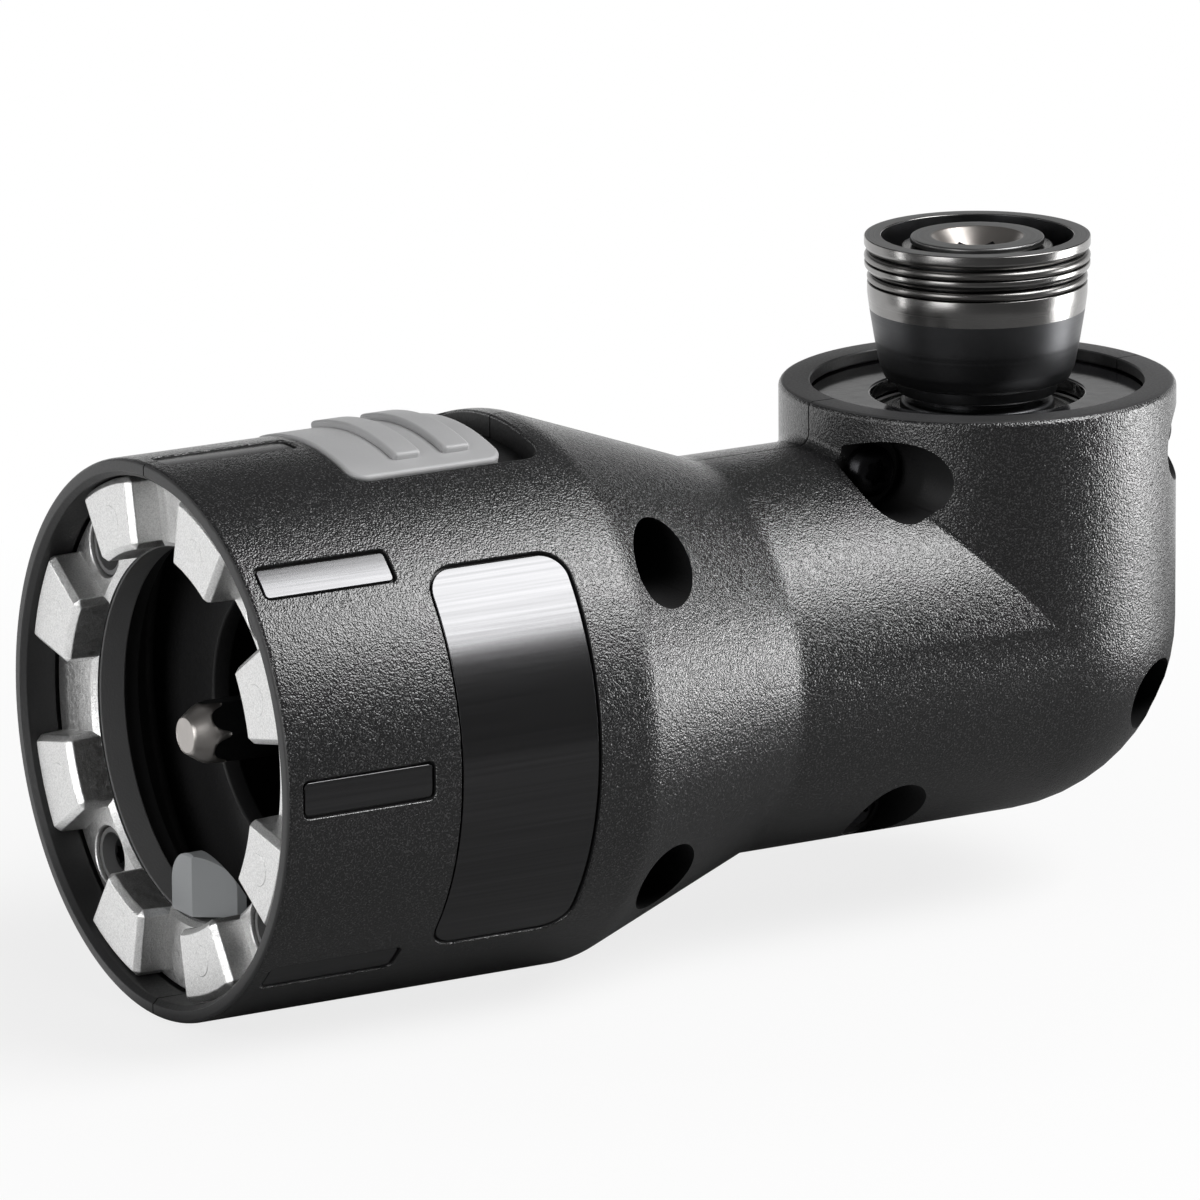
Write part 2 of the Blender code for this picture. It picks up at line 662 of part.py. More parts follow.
def output_cavity():
    """Everything hollow about the output axis, as one turned cutter."""
    bearing_r = OUTPUT_BEARING_OUTER_R + GAP
    profile = [
        (HEAD_TOP_Z + OVERCUT, 0.0),
        (HEAD_TOP_Z + OVERCUT, HEAD_LIP_R),
        (COVER_TOP_Z + GAP, HEAD_LIP_R),
        (COVER_TOP_Z + GAP, COVER_R + GAP),
        (COVER_SEAT_Z, COVER_R + GAP),
        (COVER_SEAT_Z, bearing_r),
        (OUTPUT_LEDGE_Z, bearing_r),
        (OUTPUT_LEDGE_Z, OUTPUT_SHOULDER_R + SHOULDER_CLEAR),
        (SHOULDER_Z, OUTPUT_SHOULDER_R + SHOULDER_CLEAR),
        (SHOULDER_Z, GEAR_ROOM_R),
        (GEAR_ROOM, GEAR_ROOM_R),
        (GEAR_ROOM, SPINDLE_CORE_R + CORE_CLEAR),
        (FOOT_TOP_Z + GAP, SPINDLE_CORE_R + CORE_CLEAR),
        (FOOT_TOP_Z + GAP, FOOT_BUSH_OUTER_R + GAP),
        (FOOT_LOW_Z - GAP, FOOT_BUSH_OUTER_R + GAP),
        (FOOT_LOW_Z - GAP, 0.0),
    ]
    return turned("output_cavity", profile, "Z", (OUTPUT_X, 0.0, 0.0), HOUSING_STEPS, 0.5)


def strip_plates(grow, r_span):
    """The trim strips round the mouth, or with grow their recesses."""
    span = (STRIP_X, STRIP_X + STRIP_LENGTH)
    label = "strip_recess" if grow else "strip"
    return [wrapped(f"{label}_{n + 1}", 360.0 * n / STRIPS, STRIP_HALF_ANGLE, span, r_span,
                    columns=2, grow=grow) for n in range(STRIPS)]


def name_plate_shape(grow, r_span):
    """The bare plate on the right side, or with grow its recess."""
    label = "plate_recess" if grow else "plate"
    return wrapped(label, 90.0, PLATE_HALF_ANGLE, (PLATE_X, PLATE_X + PLATE_LENGTH), r_span,
                   PLATE_CORNER, 10, grow)


def button_shape(grow, r_span, travel=0.0):
    """The release button's plate, or with grow and travel its pocket."""
    label = "button_pocket" if grow else "button_plate"
    return wrapped(label, 0.0, BUTTON_HALF_ANGLE, (BUTTON_X, BUTTON_END_X + travel), r_span,
                   BUTTON_CORNER, 6, grow)


def housing_whole():
    """Both halves in one, before the parting cut and the screws."""
    body = housing_outside()
    cut(body, drive_cavity(), output_cavity())
    past = SLEEVE_R + OVERCUT
    floor = SLEEVE_R - INLAY_DEPTH - STRIP_THICK - INLAY_GAP
    cut(body, *strip_plates(SLIDE_GAP, (floor, past)))
    plate_floor = SLEEVE_R - INLAY_DEPTH - PLATE_THICK - INLAY_GAP
    cut(body, name_plate_shape(SLIDE_GAP, (plate_floor, past)))
    cut(body, button_shape(SLIDE_GAP, (POCKET_FLOOR_R, past), RELEASE_TRAVEL))
    half_slot = STEM_WIDTH / 2 + SLIDE_GAP
    cut(body, box("stem_slot",
                  (STEM_X - SLIDE_GAP, -half_slot, BAR_HIGH_Z),
                  (STEM_X + STEM_LENGTH + RELEASE_TRAVEL + SLIDE_GAP, half_slot, past)))
    half_bar = BAR_WIDTH / 2 + SLIDE_GAP
    cut(body, box("bar_slot",
                  (PARTITION_X - OVERCUT, -half_bar, BAR_LOW_Z - SLIDE_GAP),
                  (PARTITION_BACK_X + OVERCUT, half_bar, BAR_HIGH_Z + SLIDE_GAP)))
    return applied(body, "housing_whole")


def housing_half(whole, name, side, material):
    """One half of the housing; side is -1 for the right half and 1 for the left."""
    half = add_object(name, whole.data.copy())
    reach = 2 * SLEEVE_R
    low, high = sorted((side * GAP / 2, -side * reach))
    cut(half, box(name + "_parting", (-reach, low, -reach), (OUTPUT_X + reach, high, reach)))
    for number, angle in enumerate(RING_SCREW_ANGLES, 1):
        place = at_screw_circle(angle)
        if place.y * side < 0:
            continue
        join(half, cylinder(f"pillar_{number}", PILLAR_R, GROOVE_BACK_X,
                            PARTITION_X + PARTITION / 2, "X", place, SCREW_STEPS))
        cut(half, drill(f"pillar_hole_{number}", RING_SCREW_R + GAP, GROOVE_BACK_X - GAP,
                        ring_screw_end() + GAP, "X", place, SCREW_STEPS))
    for label, x, z in HOUSING_SCREWS:
        if side < 0:
            cut(half, drill(label + "_pocket", POCKET_R, -reach, SCREW_SEAT_Y, "Y", (x, 0.0, z)))
            cut(half, drill(label + "_hole", SCREW_R + GAP, SCREW_SEAT_Y - GAP, GAP, "Y",
                            (x, 0.0, z), SCREW_STEPS))
        else:
            cut(half, drill(label + "_thread", SCREW_R + GAP, -GAP, SCREW_REACH + GAP, "Y",
                            (x, 0.0, z), SCREW_STEPS))
    return keep(half, name, material)


def screw(name, head_r, head, shank_r, reach, axis, at, seat, material):
    """Pan head screw with a hexagonal recess; its head stands in front of the seat."""
    profile = [
        (seat - head, 0.0),
        (seat - head, head_r * SCREW_CROWN),
        (seat - head * SCREW_EDGE, head_r),
        (seat, head_r),
        (seat, shank_r),
        (seat + reach, shank_r),
        (seat + reach, 0.0),
    ]
    body = turned(name + "_blank", profile, axis, at, SCREW_STEPS)
    cut(body, hex_bar(name + "_recess", head_r * SCREW_HEX, seat - head - OVERCUT,
                      seat - head * (1 - SCREW_HEX_DEPTH), axis, at))
    return keep(body, name, material)


def ring_screw_seat():
    """Where the underside of a ring screw's head lies, a gap off its counterbore."""
    return FLANGE_X + STEP_OFF - GAP


def ring_screw_end():
    """Where a ring screw's shank ends in its pillar."""
    return ring_screw_seat() + RING_SCREW_GRIP + GUIDE_FLANGE


def toothed_ring(material):
    """Castellated ring: a chamfered blank, its gaps, and four holes in the gaps."""
    b = TOOTH_BEVEL
    profile = [
        (RING_FACE_X, RING_IN_R + b),
        (RING_FACE_X, RING_OUT_R - b),
        (RING_FACE_X + b, RING_OUT_R),
        (RING_FLOOR_X, RING_OUT_R),
        (RING_FLOOR_X, RING_FLANGE_R),
        (RING_BACK_X, RING_FLANGE_R),
        (RING_BACK_X, GUIDE_BORE_R + GUIDE_LIP + GAP),
        (RING_FLOOR_X + RING_LIP, GUIDE_BORE_R + GUIDE_LIP + GAP),
        (RING_FLOOR_X + RING_LIP, RING_IN_R),
        (RING_FACE_X + b, RING_IN_R),
    ]
    ring = turned("ring_blank", profile, "X", steps=RING_STEPS, phase=CUT_PHASE)
    pitch = 360.0 / RING_TEETH
    for number in range(RING_TEETH):
        cut(ring, wrapped(f"ring_gap_{number + 1}", pitch * number, pitch / 4,
                          (-OVERCUT, RING_FLOOR_X), (RING_IN_R - OVERCUT, RING_OUT_R + OVERCUT),
                          columns=2))
    for number, angle in enumerate(RING_SCREW_ANGLES, 1):
        cut(ring, drill(f"ring_hole_{number}", RING_HOLE_R, RING_FLOOR_X - OVERCUT,
                        RING_BACK_X + OVERCUT, "X", at_screw_circle(angle)))
    return keep(ring, "toothed_ring", material)


def guide_collar(material):
    """Plastic collar that backs the ring and guides the nose of the driver."""
    profile = [
        (GUIDE_FRONT_X, GUIDE_BORE_R),
        (GUIDE_FRONT_X, GUIDE_BORE_R + GUIDE_LIP),
        (FLANGE_X, GUIDE_BORE_R + GUIDE_LIP),
        (FLANGE_X, RING_FLANGE_R),
        (FLANGE_BACK_X, RING_FLANGE_R),
        (FLANGE_BACK_X, GUIDE_BORE_R),
    ]
    collar = turned("guide_blank", profile, "X", steps=HOUSING_STEPS)
    for number, angle in enumerate(RING_SCREW_ANGLES, 1):
        place = at_screw_circle(angle)
        join(collar, cylinder(f"boss_{number}", RING_HOLE_R - GAP, GUIDE_FRONT_X,
                              FLANGE_X + GUIDE_FLANGE / 2, "X", place, BOSS_STEPS))
        cut(collar, drill(f"counterbore_{number}", RING_SCREW_HEAD_R + GAP,
                          GUIDE_FRONT_X - OVERCUT, ring_screw_seat() + GAP, "X", place,
                          BOSS_STEPS))
        cut(collar, drill(f"screw_hole_{number}", RING_SCREW_R + GAP, FLANGE_X - GAP,
                          FLANGE_BACK_X + OVERCUT, "X", place, SCREW_STEPS))
    return keep(collar, "guide_collar", material)


def lock_yoke(material):
    """Ring that slides on the pillars, with the hook below and the bar above."""
    profile = [
        (YOKE_X, YOKE_IN_R),
        (YOKE_X, YOKE_OUT_R),
        (YOKE_BACK_X, YOKE_OUT_R),
        (YOKE_BACK_X, YOKE_IN_R),
    ]
    yoke = turned("yoke_ring", profile, "X", steps=HOUSING_STEPS)
    for number, angle in enumerate(RING_SCREW_ANGLES, 1):
        cut(yoke, drill(f"yoke_hole_{number}", PILLAR_R + GAP, YOKE_X - OVERCUT,
                        YOKE_BACK_X + OVERCUT, "X", at_screw_circle(angle)))
    hook = box("hook", (HOOK_X, -HOOK_WIDTH / 2, -(GUIDE_BORE_R - SLIDE_GAP)),
               (HOOK_X + HOOK_LENGTH, HOOK_WIDTH / 2, -HOOK_TIP_R))
    bevel(hook, HOOK_ROUND, segments=2)
    root = box("hook_root", (YOKE_X, -HOOK_WIDTH / 2, -(YOKE_IN_R + HOOK_ROOT_OUT)),
               (YOKE_BACK_X, HOOK_WIDTH / 2, -(GUIDE_BORE_R - HOOK_ROOT_IN)))
    half = BAR_WIDTH / 2
    bar = box("bar", (YOKE_X + YOKE / 2, -half, BAR_LOW_Z), (BAR_END_X, half, BAR_HIGH_Z))
    join(yoke, hook, root, bar)
    bar_z = (BAR_LOW_Z + BAR_HIGH_Z) / 2
    join(yoke, cylinder("spring_pin", LATCH_PIN_R, BAR_END_X - OVERCUT, BAR_END_X + LATCH_PIN,
                        "X", (0.0, 0.0, bar_z), SCREW_STEPS))
    half_stem = STEM_WIDTH / 2 + GAP
    cut(yoke, box("stem_hole", (STEM_X - GAP, -half_stem, BAR_LOW_Z - OVERCUT),
                  (STEM_X + STEM_LENGTH + GAP, half_stem, BAR_HIGH_Z + OVERCUT)))
    return keep(yoke, "lock_yoke", material)


def release_button(material):
    """Curved plate with two raised ribs, and a stem that drives the bar."""
    outer = SLEEVE_R + BUTTON_PROUD
    button = button_shape(0.0, (outer - BUTTON_PLATE, outer))
    for number, start in enumerate(RIB_STARTS, 1):
        rib = wrapped(f"rib_{number}", 0.0, RIB_HALF_ANGLE, (start, start + RIB_WIDTH),
                      (outer - BUTTON_PLATE / 2, outer + RIB_PROUD), columns=5)
        join(button, rib)
    half = STEM_WIDTH / 2
    join(button, box("stem", (STEM_X, -half, BAR_LOW_Z + GAP),
                     (STEM_X + STEM_LENGTH, half, outer - BUTTON_PLATE / 2)))
    return keep(button, "release_button", material)


def latch_spring(material):
    """Spring that pushes the bar forward, seated on the bulkhead."""
    bar_z = (BAR_LOW_Z + BAR_HIGH_Z) / 2
    spring = coil("latch_coil", LATCH_COIL_R, LATCH_WIRE_R, BAR_END_X + GAP, BULKHEAD_X - GAP,
                  LATCH_TURNS, "X", (0.0, 0.0, bar_z))
    return keep(spring, "latch_spring", material)


def ball_bearing(name, bore, outer, width, count, axis, at, finishes):
    """Two races with a groove, and a caged ring of so many balls between them."""
    steel, cage_finish = finishes
    pitch = (bore + outer) / 2
    ball = BALL_FILL * (outer - bore)
    lip = RACE_LIP * ball
    groove = ball + GAP
    half_groove = math.sqrt(groove ** 2 - lip ** 2)
    floor = ball / 2
    for label, wall, sign in (("inner", bore, -1), ("outer", outer, 1)):
        profile = [
            (-width / 2, wall),
            (width / 2, wall),
            (width / 2, pitch + sign * lip),
            (half_groove, pitch + sign * lip),
            (floor, pitch + sign * groove),
            (-floor, pitch + sign * groove),
            (-half_groove, pitch + sign * lip),
            (-width / 2, pitch + sign * lip),
        ]
        keep(turned("race", profile, axis, at, SMALL_STEPS), f"{name}_bearing_{label}", steel)
    half = CAGE_HALF * ball
    end = CAGE_LENGTH * ball
    band = [(-end, pitch - half), (-end, pitch + half), (end, pitch + half), (end, pitch - half)]
    cage = turned("cage_band", band, axis, at, SMALL_STEPS)
    bm = bmesh.new()
    for number in range(count):
        turn = 2 * math.pi * (number + 0.5) / count
        spot = Matrix.Translation((pitch * math.cos(turn), pitch * math.sin(turn), 0.0))
        bmesh.ops.create_uvsphere(bm, u_segments=6, v_segments=4, radius=ball, matrix=spot)
    balls = mesh_from(name + "_balls", bm)
    balls.location = at
    balls.rotation_euler = AXIS_TURNS[axis]
    join(cage, balls)
    keep(cage, f"{name}_bearing_cage", cage_finish)


def bevel_teeth(name, phase):
    """Straight bevel teeth lofted from heel to toe, apex at the origin, axis along +Z."""
    tip_cone = PITCH_ANGLE + math.atan(GEAR_ADDENDUM / GEAR_HEEL)
    root_cone = PITCH_ANGLE - math.atan(GEAR_DEDENDUM / GEAR_HEEL)
    half_pitch = math.pi * GEAR_PITCH_R / GEAR_TEETH
    half_tooth = (half_pitch - GEAR_BACKLASH) / 2
    slope = math.tan(math.radians(PRESSURE_ANGLE))
    half_tip = (half_tooth - GEAR_ADDENDUM * slope) / (GEAR_HEEL * math.sin(tip_cone))
    half_root = (half_tooth + GEAR_DEDENDUM * slope) / (GEAR_HEEL * math.sin(root_cone))
    outline = []
    for tooth in range(GEAR_TEETH):
        middle = phase + 2 * math.pi * tooth / GEAR_TEETH
        outline += [(middle - half_root, root_cone), (middle - half_tip, tip_cone),
                    (middle + half_tip, tip_cone), (middle + half_root, root_cone)]
    bm = bmesh.new()
    rings = []
    for distance in (GEAR_HEEL, GEAR_TOE):
        rings.append([bm.verts.new((distance * math.sin(cone) * math.cos(turn),
                                    distance * math.sin(cone) * math.sin(turn),
                                    distance * math.cos(cone))) for turn, cone in outline])
    heel, toe = rings
    back = bm.verts.new((0.0, 0.0, GEAR_BACK - GEAR_HUB / 4))
    front = bm.verts.new((0.0, 0.0, GEAR_TOE * math.cos(root_cone)))
    for number in range(len(outline)):
        after = (number + 1) % len(outline)
        bm.faces.new((heel[number], heel[after], toe[after], toe[number]))
        bm.faces.new((heel[after], heel[number], back))
        bm.faces.new((toe[number], toe[after], front))
    return mesh_from(name, bm)


def bevel_gear(name, axis, bore, hub_r, phase, material):
    """One gear of the bevel pair, with its hub behind and its bore."""
    at = (OUTPUT_X, 0.0, 0.0)
    gear = bevel_teeth(name + "_teeth", phase)
    gear.location = at
    gear.rotation_euler = AXIS_TURNS[axis]
    join(gear, cylinder(name + "_hub", hub_r, GEAR_HEEL * GEAR_HUB_START, GEAR_BACK, axis, at, SMALL_STEPS))
    cut(gear, drill(name + "_bore", bore, 0.0, GEAR_BACK + OVERCUT, axis, at, SMALL_STEPS))
    return keep(gear, name, material)


def input_shaft(material):
    """Hexagonal shaft with a coned tip, and round seats for bearings and pinion."""
    journal = DRIVE_BEARING_BORE_R - GAP
    seat_start = FRONT_POCKET_X - BEARING_LIP
    shaft = hex_bar("shaft_hex", HEX_FLATS, SHAFT_TIP_X, seat_start + OVERCUT, "X")
    corner = HEX_FLATS / math.sqrt(3.0)
    slope = (corner + STEP_OFF - SHAFT_TIP_R) / SHAFT_CONE
    envelope = [
        (SHAFT_TIP_X - OVERCUT, 0.0),
        (SHAFT_TIP_X - OVERCUT, SHAFT_TIP_R - slope * OVERCUT),
        (SHAFT_TIP_X + SHAFT_CONE, corner + STEP_OFF),
        (SHAFT_TIP_X + SHAFT_CONE, 2 * corner),
        (seat_start + 2 * OVERCUT, 2 * corner),
        (seat_start + 2 * OVERCUT, 0.0),
    ]
    boolean(shaft, turned("shaft_cone", envelope, "X", steps=PART_STEPS), "INTERSECT")
    shoulder_start = FRONT_BUSH_X + FRONT_BUSH_WIDTH / 2 + GAP
    shoulder_end = REAR_BEARING_X - DRIVE_BEARING_WIDTH / 2 - GAP
    pinion_end = OUTPUT_X - GEAR_TOE * math.cos(PITCH_ANGLE) - GAP
    seats = [
        (seat_start, 0.0),
        (seat_start, journal),
        (shoulder_start, journal),
        (shoulder_start, SHAFT_SHOULDER_R),
        (shoulder_end, SHAFT_SHOULDER_R),
        (shoulder_end, journal),
        (pinion_end, journal),
        (pinion_end, 0.0),
    ]
    join(shaft, turned("shaft_seats", seats, "X", steps=SMALL_STEPS))
    return keep(shaft, "input_shaft", material)


def spindle(material):
    """Output spindle with its seats, ball holes and hexagonal bit socket."""
    at = (OUTPUT_X, 0.0, 0.0)
    profile = [
        (FOOT_LOW_Z, 0.0),
        (FOOT_LOW_Z, FOOT_BUSH_BORE_R - GAP),
        (FOOT_TOP_Z + GAP, FOOT_BUSH_BORE_R - GAP),
        (FOOT_TOP_Z + GAP, SPINDLE_CORE_R),
        (SHOULDER_Z, SPINDLE_CORE_R),
        (SHOULDER_Z, OUTPUT_SHOULDER_R),
        (OUTPUT_LEDGE_Z, OUTPUT_SHOULDER_R),
        (OUTPUT_LEDGE_Z, OUTPUT_BEARING_BORE_R - GAP),
        (OUTPUT_BEARING_TOP_Z + GAP, OUTPUT_BEARING_BORE_R - GAP),
        (OUTPUT_BEARING_TOP_Z + GAP, SPINDLE_NECK_R),
        (NECK_TOP_Z, SPINDLE_NECK_R),
        (NECK_TOP_Z, SPINDLE_STEM_R),
        (SPINDLE_TOP_Z - SPINDLE_HEAD, SPINDLE_STEM_R),
        (SPINDLE_TOP_Z - SPINDLE_HEAD, SPINDLE_HEAD_R),
        (SPINDLE_TOP_Z, SPINDLE_HEAD_R),
        (SPINDLE_TOP_Z, 0.0),
    ]
    body = turned("spindle_blank", profile, "Z", at)
    corner = BIT_HEX_FLATS / math.sqrt(3.0)
    mouth = [
        (SPINDLE_TOP_Z - MOUTH_DEPTH - OVERCUT, 0.0),
        (SPINDLE_TOP_Z - MOUTH_DEPTH, corner - GAP),
        (SPINDLE_TOP_Z, MOUTH_R),
        (SPINDLE_TOP_Z + OVERCUT, MOUTH_R + OVERCUT),
        (SPINDLE_TOP_Z + OVERCUT, 0.0),
    ]
    cut(body, hex_bar("bit_hex", BIT_HEX_FLATS, SPINDLE_TOP_Z - BIT_DEPTH,
                      SPINDLE_TOP_Z + 2 * OVERCUT, "Z", at))
    cut(body, turned("bit_mouth", mouth, "Z", at, SMALL_STEPS, CUT_PHASE))
    cut(body, drill("ball_holes", BALL_R + GAP, -2 * SPINDLE_STEM_R, 2 * SPINDLE_STEM_R, "X",
                    (OUTPUT_X, 0.0, BALL_Z), SCREW_STEPS))
    return keep(body, "spindle", material)


def bush(name, bore, outer, width, axis, at, material):
    """Sintered bush in which a shaft turns."""
    half = width / 2
    profile = [(-half, bore), (-half, outer), (half, outer), (half, bore)]
    return keep(turned("sleeve", profile, axis, at), name, material)


def lock_balls(material):
    """Two balls in the spindle wall, which reach into the bit socket."""
    for number, side in ((1, 1), (2, -1)):
        bm = bmesh.new()
        bmesh.ops.create_uvsphere(bm, u_segments=10, v_segments=6, radius=BALL_R)
        ball = mesh_from("ball", bm)
        ball.location = (OUTPUT_X + side * BALL_CENTRE_R, 0.0, BALL_Z)
        keep(ball, f"lock_ball_{number}", material)


def locking_collar(material):
    """Sliding collar with grooves for its two rings and a tapered foot."""
    floor = GRIP_CIRCLE_R - GRIP_WIRE_R - GAP / 2
    half = GRIP_WIRE_R + GAP / 2
    outside = [(COLLAR_TOP_Z, COLLAR_R - COLLAR_EDGE), (COLLAR_TOP_Z - COLLAR_EDGE, COLLAR_R)]
    for drop in GRIP_DROPS:
        z = COLLAR_TOP_Z - drop
        outside += [(z + half, COLLAR_R), (z + half, floor), (z - half, floor), (z - half, COLLAR_R)]
    outside[-1] = (outside[-1][0], COLLAR_BAND_R)
    outside += [(COLLAR_TOP_Z - BAND_DROP, COLLAR_BAND_R),
                (COLLAR_TOP_Z - BAND_DROP - 2 * COLLAR_EDGE, COLLAR_WAIST_R)]
    outside += [(COLLAR_TOP_Z - drop, radius) for drop, radius in zip(TAPER_DROPS, TAPER_RADII)]
    outside += [(COLLAR_LOW_Z, COLLAR_FOOT_R)]
    bore = SPINDLE_STEM_R + GAP
    inside = [
        (COLLAR_LOW_Z, COLLAR_RELIEF_R),
        (RELIEF_TOP_Z, COLLAR_RELIEF_R),
        (RELIEF_TOP_Z + COLLAR_RELIEF_R - bore, bore),
        (COLLAR_SHELF_Z, bore),
        (COLLAR_SHELF_Z, COLLAR_MOUTH_R),
        (COLLAR_TOP_Z, COLLAR_MOUTH_R),
    ]
    collar = turned("collar_blank", outside + inside, "Z", (OUTPUT_X, 0.0, 0.0))
    return keep(collar, "locking_collar", material)


def torus(name, circle, wire, axis, at, material):
    """Ring of round wire."""
    profile = arc((0.0, circle), wire, 0.0, 300.0, 5)
    return keep(turned("wire_ring", profile, axis, at), name, material)


def collar_pieces(ring_finish, steel, spring_finish):
    """Grip rings, spring and washer of the locking collar."""
    for label, drop in zip(("upper", "lower"), GRIP_DROPS):
        torus(f"grip_ring_{label}", GRIP_CIRCLE_R, GRIP_WIRE_R, "Z",
              (OUTPUT_X, 0.0, COLLAR_TOP_Z - drop), ring_finish)
    at = (OUTPUT_X, 0.0, 0.0)
    bore = SPINDLE_STEM_R + GAP
    washer = [(WASHER_LOW_Z, bore), (WASHER_LOW_Z, WASHER_R), (WASHER_TOP_Z, WASHER_R),
              (WASHER_TOP_Z, bore)]
    keep(turned("washer", washer, "Z", at), "retaining_ring", steel)
    spring = coil("collar_coil", COLLAR_COIL_R, COLLAR_WIRE_R, COLLAR_SHELF_Z + GAP,
                  WASHER_LOW_Z - GAP, COLLAR_TURNS, "Z", at)
    keep(spring, "collar_spring", spring_finish)


def head_cover(material):
    """Cover disc held in the head's groove, with a spigot over the bearing."""
    profile = [
        (COVER_LOW_Z, COVER_R),
        (COVER_TOP_Z, COVER_R),
        (COVER_TOP_Z, COVER_HOLE_R),
        (OUTPUT_BEARING_TOP_Z + GAP, COVER_HOLE_R),
        (OUTPUT_BEARING_TOP_Z + GAP, OUTPUT_BEARING_OUTER_R),
        (COVER_LOW_Z, OUTPUT_BEARING_OUTER_R),
    ]
    cover = turned("cover", profile, "Z", (OUTPUT_X, 0.0, 0.0), HOUSING_STEPS)
    return keep(cover, "head_cover", material)


def inlays(material):
    """Bare plate on the right side and the trim strips round the mouth."""
    face = SLEEVE_R - INLAY_DEPTH
    keep(name_plate_shape(0.0, (face - PLATE_THICK, face)), "name_plate", material)
    for number, strip in enumerate(strip_plates(0.0, (face - STRIP_THICK, face)), 1):
        keep(strip, f"trim_strip_{number}", material)


def build():
    """Make every piece of the attachment."""
    plastic = finish("charcoal_plastic", (0.035, 0.036, 0.038), 0.5, 0.0)
    inner_plastic = finish("black_plastic", (0.02, 0.02, 0.021), 0.55, 0.0)
    grey = finish("grey_button", (0.35, 0.35, 0.35), 0.45, 0.0)
    dark_grey = finish("grey_hook", (0.17, 0.17, 0.17), 0.5, 0.0)
    aluminium = finish("cast_aluminium", (0.72, 0.72, 0.72), 0.4, 1.0)
    steel = finish("bright_steel", (0.6, 0.58, 0.55), 0.25, 1.0)
    black_steel = finish("black_steel", (0.03, 0.03, 0.032), 0.3, 1.0)
    spring_steel = finish("spring_steel", (0.4, 0.4, 0.4), 0.3, 1.0)
    glossy = finish("gloss_black", (0.01, 0.01, 0.011), 0.15, 0.0)
    brass = finish("bearing_cage", (0.55, 0.4, 0.18), 0.4, 1.0)
    brushed = finish("brushed_dark_metal", (0.12, 0.12, 0.125), 0.3, 1.0)

    whole = housing_whole()
    housing_half(whole, "housing_right", -1, plastic)
    housing_half(whole, "housing_left", 1, plastic)
    bpy.data.objects.remove(whole, do_unlink=True)
    for label, x, z in HOUSING_SCREWS:
        screw(label, SCREW_HEAD_R, SCREW_HEAD, SCREW_R, SCREW_REACH - SCREW_SEAT_Y, "Y",
              (x, 0.0, z), SCREW_SEAT_Y - GAP, black_steel)
    toothed_ring(aluminium)
    guide_collar(inner_plastic)
    for number, angle in enumerate(RING_SCREW_ANGLES, 1):
        screw(f"ring_screw_{number}", RING_SCREW_HEAD_R, RING_SCREW_HEAD, RING_SCREW_R,
              ring_screw_end() - ring_screw_seat(), "X", at_screw_circle(angle),
              ring_screw_seat(), black_steel)
    lock_yoke(dark_grey)
    release_button(grey)
    latch_spring(spring_steel)
    inlays(brushed)
    head_cover(glossy)
    input_shaft(steel)
    bevel_gear("bevel_pinion", "-X", DRIVE_BEARING_BORE_R, PINION_HUB_R,
               math.pi / GEAR_TEETH, steel)
    bevel_gear("bevel_gear", "Z", SPINDLE_CORE_R + GAP, GEAR_HUB_R, 0.0, steel)
    bush("front_bush", DRIVE_BEARING_BORE_R, FRONT_BUSH_OUTER_R, FRONT_BUSH_WIDTH, "X",
         (FRONT_BUSH_X, 0.0, 0.0), brass)
    ball_bearing("rear", DRIVE_BEARING_BORE_R, DRIVE_BEARING_OUTER_R, DRIVE_BEARING_WIDTH,
                 REAR_BALLS, "X", (REAR_BEARING_X, 0.0, 0.0), (steel, brass))
    ball_bearing("output", OUTPUT_BEARING_BORE_R, OUTPUT_BEARING_OUTER_R, OUTPUT_BEARING_WIDTH,
                 OUTPUT_BALLS, "Z", (OUTPUT_X, 0.0, OUTPUT_BEARING_Z), (steel, brass))
    bush("foot_bush", FOOT_BUSH_BORE_R, FOOT_BUSH_OUTER_R, FOOT_BUSH_WIDTH, "Z",
         (OUTPUT_X, 0.0, FOOT_BUSH_Z), brass)
    spindle(steel)
    lock_balls(steel)
    locking_collar(black_steel)
    collar_pieces(inner_plastic, black_steel, spring_steel)


build()
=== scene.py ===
"""Dressed model of a right angle attachment for a cordless screwdriver.

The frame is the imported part. The drive axis is X with its mouth towards -X, and the
output axis is parallel to Z. Angles round the sleeve are counted from the top towards
the right side (-Y). Sizes are in metres, written as millimetres times MM.
"""

import json
import logging
import math
from dataclasses import dataclass, field
from enum import Enum
from typing import Callable, Iterable, Sequence

import bmesh
import bpy
import numpy as np
from bmesh.types import BMVert
from bpy.types import Material, Mesh, Node, NodeSocket, NodeTree, Object
from mathutils import Matrix, Vector


